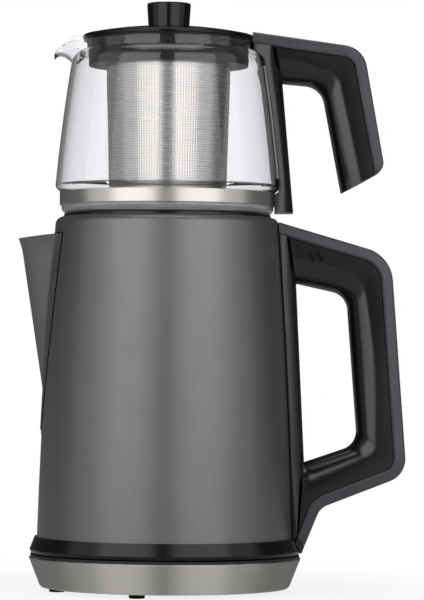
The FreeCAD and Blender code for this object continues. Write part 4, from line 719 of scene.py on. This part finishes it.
basket = {
    "topRadius": 36.7, "footRadius": 34.6, "topLevel": 310.6, "footLevel": 233.6, "rimRadius": 39.7,
    "columns": 140, "rows": 54, "holeShare": 0.65, "sheet": 0.5, "shadeGap": 0.25, "shadeThickness": 0.2,
    "floorBevel": 0.4, "floorInset": 0.6, "segments": 96,
}


def perforatedTree():                # grid bent into a cone, with a hole in every cell but the end rows
    tree = bpy.data.node_groups.new("perforated cone", "GeometryNodeTree")
    tree.interface.new_socket("Sheet", in_out="OUTPUT", socket_type="NodeSocketGeometry")
    sockets = {"NodeSocketInt": ("Columns", "Rows"), "NodeSocketMaterial": ("Material",), "NodeSocketFloat": (
        "Foot Radius", "Top Radius", "Foot Level", "Top Level", "Hole Share", "Axis X")}
    for kind, names in sockets.items():
        for name in names:
            tree.interface.new_socket(name, in_out="INPUT", socket_type=kind)
    given = addNode(tree, "NodeGroupInput").outputs
    spot = addNode(tree, "ShaderNodeSeparateXYZ", {0: addNode(tree, "GeometryNodeInputPosition").outputs[0]})
    values = {name: given[name] for names in sockets.values() for name in names}
    values.update(gridX=spot.outputs["X"], gridY=spot.outputs["Y"])
    formulas = (                     # each gives a value its name, from values above it
        ("acrossCount", "ADD", "Columns", 1.0),
        ("upCount", "ADD", "Rows", 1.0),
        ("turn", "MULTIPLY", "gridX", 2 * math.pi),
        ("height", "ADD", "gridY", 0.5),
        ("taper", "SUBTRACT", "Top Radius", "Foot Radius"),
        ("radius", "MULTIPLY_ADD", "height", "taper", "Foot Radius"),
        ("rise", "SUBTRACT", "Top Level", "Foot Level"),
        ("cosine", "COSINE", "turn"),
        ("sine", "SINE", "turn"),
        ("x", "MULTIPLY_ADD", "cosine", "radius", "Axis X"),
        ("y", "MULTIPLY", "sine", "radius"),
        ("z", "MULTIPLY_ADD", "height", "rise", "Foot Level"),
        ("cell", "DIVIDE", "rise", "Rows"),
        ("holesFrom", "ADD", "Foot Level", "cell"),
        ("holesTo", "SUBTRACT", "Top Level", "cell"))
    for name, operation, *terms in formulas:
        inputs = {k: values.get(term, term) for k, term in enumerate(terms)}
        values[name] = addNode(tree, "ShaderNodeMath", inputs, operation=operation).outputs[0]
    grid = addNode(tree, "GeometryNodeMeshGrid", {"Vertices X": values["acrossCount"],
                                                  "Vertices Y": values["upCount"]})
    place = addNode(tree, "ShaderNodeCombineXYZ", {"X": values["x"], "Y": values["y"], "Z": values["z"]})
    cone = addNode(tree, "GeometryNodeSetPosition", {"Geometry": grid.outputs[0],
                                                     "Position": place.outputs[0]})
    closed = addNode(tree, "GeometryNodeMergeByDistance", {"Geometry": cone.outputs[0], "Distance": weldGap})
    level = addNode(tree, "ShaderNodeSeparateXYZ", {0: addNode(tree, "GeometryNodeInputPosition").outputs[0]})
    over = addNode(tree, "FunctionNodeCompare", {0: level.outputs["Z"], 1: values["holesFrom"]},
                   data_type="FLOAT", operation="GREATER_THAN")
    under = addNode(tree, "FunctionNodeCompare", {0: level.outputs["Z"], 1: values["holesTo"]},
                    data_type="FLOAT", operation="LESS_THAN")
    between = addNode(tree, "FunctionNodeBooleanMath", {0: over.outputs[0], 1: under.outputs[0]},
                      operation="AND")
    lifted = addNode(tree, "GeometryNodeExtrudeMesh", {"Mesh": closed.outputs[0],
                                                       "Selection": between.outputs[0],
                                                       "Offset Scale": 0.0, "Individual": True}, mode="FACES")
    holes = addNode(tree, "GeometryNodeScaleElements", {"Geometry": lifted.outputs["Mesh"],
                                                        "Selection": lifted.outputs["Top"],
                                                        "Scale": given["Hole Share"]}, domain="FACE")
    opened = addNode(tree, "GeometryNodeDeleteGeometry", {"Geometry": holes.outputs[0],
                                                          "Selection": lifted.outputs["Top"]}, domain="FACE")
    whole = addNode(tree, "GeometryNodeRealizeInstances", {"Geometry": opened.outputs[0]})
    dressed = addNode(tree, "GeometryNodeSetMaterial", {"Geometry": whole.outputs[0],
                                                        "Material": given["Material"]})
    addNode(tree, "NodeGroupOutput", {0: dressed.outputs[0]})
    return tree


def nodesOn(piece, tree, values):    # a Geometry Nodes modifier with its named inputs set by identifier
    modifier = piece.modifiers.new(tree.name, "NODES")
    modifier.node_group = tree
    for item in tree.interface.items_tree:
        if item.in_out == "INPUT" and item.name in values:
            modifier[item.identifier] = values[item.name]


def dullSteel():                     # dark grey, matt steel: painted shade on the basket's inside, its punched edges and the sheet behind the holes
    material, tree, surface = newMaterial("pickled stainless", {"Metallic": 0.8})
    tone = noiseBetween(tree, (60, 60, 60), 0.85, 1.15)
    rough = noiseBetween(tree, (90, 90, 90), 0.5, 0.62)
    varySurface(tree, surface, "#3f3f40", tone, rough)
    return material


def makeBasket():
    foot, top, thick = basket["footLevel"], basket["topLevel"], basket["sheet"]
    footRadius, topRadius, rimRadius = basket["footRadius"], basket["topRadius"], basket["rimRadius"]
    sheet = newPiece("basketSheet", [], [], "inner_steel")
    sheet.data.materials.append(dullSteel())
    nodesOn(sheet, perforatedTree(), {
        "Columns": basket["columns"], "Rows": basket["rows"], "Hole Share": basket["holeShare"],
        "Foot Radius": footRadius * millimetre, "Top Radius": topRadius * millimetre,
        "Foot Level": foot * millimetre, "Top Level": top * millimetre, "Axis X": axisX,
        "Material": finishes["inner_steel"]})
    wall = sheet.modifiers.new("wall", "SOLIDIFY")
    wall.thickness = thick * millimetre
    wall.offset = -1
    wall.material_offset = 1         # the inside and the punched edges get the dark steel: painted shade inside the basket
    wall.material_offset_rim = 1
    settle(sheet, angle=40)
    # the sheet laid just inside the perforated wall is a dark backing of painted shade for the holes
    inside, near = footRadius - thick, thick + basket["shadeGap"]
    far, bevel = near + basket["shadeThickness"], basket["floorBevel"]
    outlines = {
        "basketFloor": [(pinhole, foot), (inside, foot), (inside + bevel, foot + bevel),
                        (inside - basket["floorInset"], foot + thick), (pinhole, foot + thick)],
        "basketRim": [(topRadius - thick, top), (rimRadius, top), (rimRadius, top + thick),
                      (topRadius - thick, top + thick)],
        "basketLining": [(footRadius - near, foot + thick), (topRadius - near, top), (topRadius - far, top),
                         (footRadius - far, foot + thick)],
    }
    turned = [turnedPiece(name, outline, "inner_steel", basket["segments"])
              for name, outline in outlines.items()]
    for piece in turned:
        settle(piece)
    for face in turned[-1].data.polygons:
        face.material_index = 1      # dark steel on a sheet just inside the holes: painted shade, so the holes look dark
    whole = joinPieces("infuserBasket", [sheet] + turned)
    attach(whole, "infuser")
    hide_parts("infuser_basket")
    print("basket triangles:", sum(len(face.vertices) - 2 for face in whole.data.polygons))


makeBasket()


# Floor, light and camera

studio = {
    "floorSize": 6.0, "nearWhite": 0.84, "whiteFrom": 0.1, "whiteTo": 0.3,  # floor: white from whiteTo
    "ambient": 0.3, "glossy": 0.06, "throughGlass": 0.3, "floorMirror": 0.3,  # what bounced light finds
}


def plainView(tree):                 # 1 where seen directly or straight through glass, and 1 where mirrored
    ray = addNode(tree, "ShaderNodeLightPath")
    bounces = addNode(tree, "ShaderNodeMath", {0: ray.outputs["Glossy Depth"],
                                               1: ray.outputs["Diffuse Depth"]}, operation="ADD").outputs[0]
    straight = addNode(tree, "ShaderNodeMath", {0: bounces, 1: 0.5}, operation="LESS_THAN").outputs[0]
    through = addNode(tree, "ShaderNodeMath", {0: ray.outputs["Is Transmission Ray"], 1: straight},
                      operation="MULTIPLY").outputs[0]
    seen = addNode(tree, "ShaderNodeMath", {0: ray.outputs["Is Camera Ray"], 1: through},
                   operation="MAXIMUM").outputs[0]
    mirrored = addNode(tree, "ShaderNodeMath", {0: ray.outputs["Glossy Depth"], 1: 0.5},
                       operation="GREATER_THAN").outputs[0]
    return seen, mirrored, ray.outputs["Is Transmission Ray"]


def paleFloor():                     # pale matt board: keeps the shadow near the object, white further out
    mesh = bpy.data.meshes.new("floor")
    half = studio["floorSize"] / 2
    corners = [(-half, -half, 0), (half, -half, 0), (half, half, 0), (-half, half, 0)]
    mesh.from_pydata(corners, [], [(0, 1, 2, 3)])
    floor = addObject("floor", mesh)
    material = bpy.data.materials.new("pale board")
    tree = emptyTree(material)
    board = addNode(tree, "ShaderNodeBsdfDiffuse", {"Color": linear("#f4f4f4")})
    where = addNode(tree, "ShaderNodeTexCoord").outputs["Object"]
    centre = addNode(tree, "ShaderNodeMapping", {"Vector": where, "Location": (-axisX, 0, 0)}).outputs[0]
    away = addNode(tree, "ShaderNodeVectorMath", {0: centre}, operation="LENGTH").outputs["Value"]
    far = addNode(tree, "ShaderNodeMapRange", {
        "Value": away, "From Min": studio["whiteFrom"], "From Max": studio["whiteTo"],
        "To Min": studio["nearWhite"]}, interpolation_type="SMOOTHSTEP").outputs[0]
    seen, mirrored, _ = plainView(tree)
    white = addNode(tree, "ShaderNodeMath", {0: far, 1: seen}, operation="MULTIPLY").outputs[0]
    share = addNode(tree, "ShaderNodeMath", {0: white, 1: mirrored}, operation="MAXIMUM").outputs[0]
    strength = addNode(tree, "ShaderNodeMapRange", {
        "Value": mirrored, "To Min": 1.0, "To Max": studio["floorMirror"]}).outputs[0]
    glow = addNode(tree, "ShaderNodeEmission", {"Color": (1, 1, 1, 1), "Strength": strength})
    mixed = addNode(tree, "ShaderNodeMixShader", {0: share, 1: board.outputs[0], 2: glow.outputs[0]})
    addNode(tree, "ShaderNodeOutputMaterial", {"Surface": mixed.outputs[0]})
    mesh.materials.append(material)


def softWorld():                     # even studio light, seen as plain white
    world = bpy.data.worlds.new("studio")
    bpy.context.scene.world = world
    tree = emptyTree(world)
    seen, mirrored, through = plainView(tree)
    mirror = addNode(tree, "ShaderNodeMapRange", {"Value": through, "To Min": studio["glossy"],
                                                  "To Max": studio["throughGlass"]}).outputs[0]
    dim = addNode(tree, "ShaderNodeMapRange", {"Value": mirrored, "To Min": studio["ambient"],
                                               "To Max": mirror}).outputs[0]
    level = addNode(tree, "ShaderNodeMix", {"Factor": seen, "A": dim, "B": 1.0}, data_type="FLOAT").outputs[0]
    glow = addNode(tree, "ShaderNodeBackground", {"Color": (1, 1, 1, 1), "Strength": level})
    addNode(tree, "ShaderNodeOutputWorld", {"Surface": glow.outputs[0]})


lamps = {                            # azimuth from the camera, distance, height, size across and up, watts
    "leftBox": (-35.5, 1.7, 0.5, (1.55, 1.9), 13.2),
    "leftFill": (-76.5, 1.7, 0.5, (0.98, 1.9), 2.9),
    "rightBox": (34, 1.7, 0.5, (1.55, 1.9), 12.8),
    "rightFill": (74.5, 1.7, 0.5, (0.95, 1.9), 2.8),
    "topBox": (0, 0.01, 1.7, (1.3, 1.3), 9),
}
lampTarget = (axisX, 0, 0.17)        # the middle of the object


def softBox(name, azimuth, distance, height, size, watts):
    turn = math.radians(azimuth)
    place = (axisX + distance * math.sin(turn), -distance * math.cos(turn), height)
    light = bpy.data.lights.new(name, "AREA")
    light.shape = "RECTANGLE"
    light.size, light.size_y = size
    light.energy = watts
    lamp = addObject(name, light)
    lamp.location = place
    lamp.rotation_euler = (Vector(lampTarget) - Vector(place)).to_track_quat("-Z", "Y").to_euler()


view = {"place": (0.0002, -1.912, 0.1384), "pitch": 0.99, "roll": 0.44,
        "lens": 194.46, "sensor": 36, "nearest": 0.05}


def addCamera():
    camera = addObject("camera", bpy.data.cameras.new("camera"))
    camera.data.lens = view["lens"]
    camera.data.sensor_width = view["sensor"]
    camera.data.clip_start = view["nearest"]
    pitch = Matrix.Rotation(math.radians(90 + view["pitch"]), 4, "X")
    roll = Matrix.Rotation(math.radians(view["roll"]), 4, "Z")
    camera.matrix_world = Matrix.Translation(view["place"]) @ (pitch @ roll)
    bpy.context.scene.camera = camera


paleFloor()
softWorld()
for name, lamp in lamps.items():
    softBox(name, *lamp)
addCamera()
bpy.context.scene.view_settings.view_transform = "Standard"
print("studio ready")
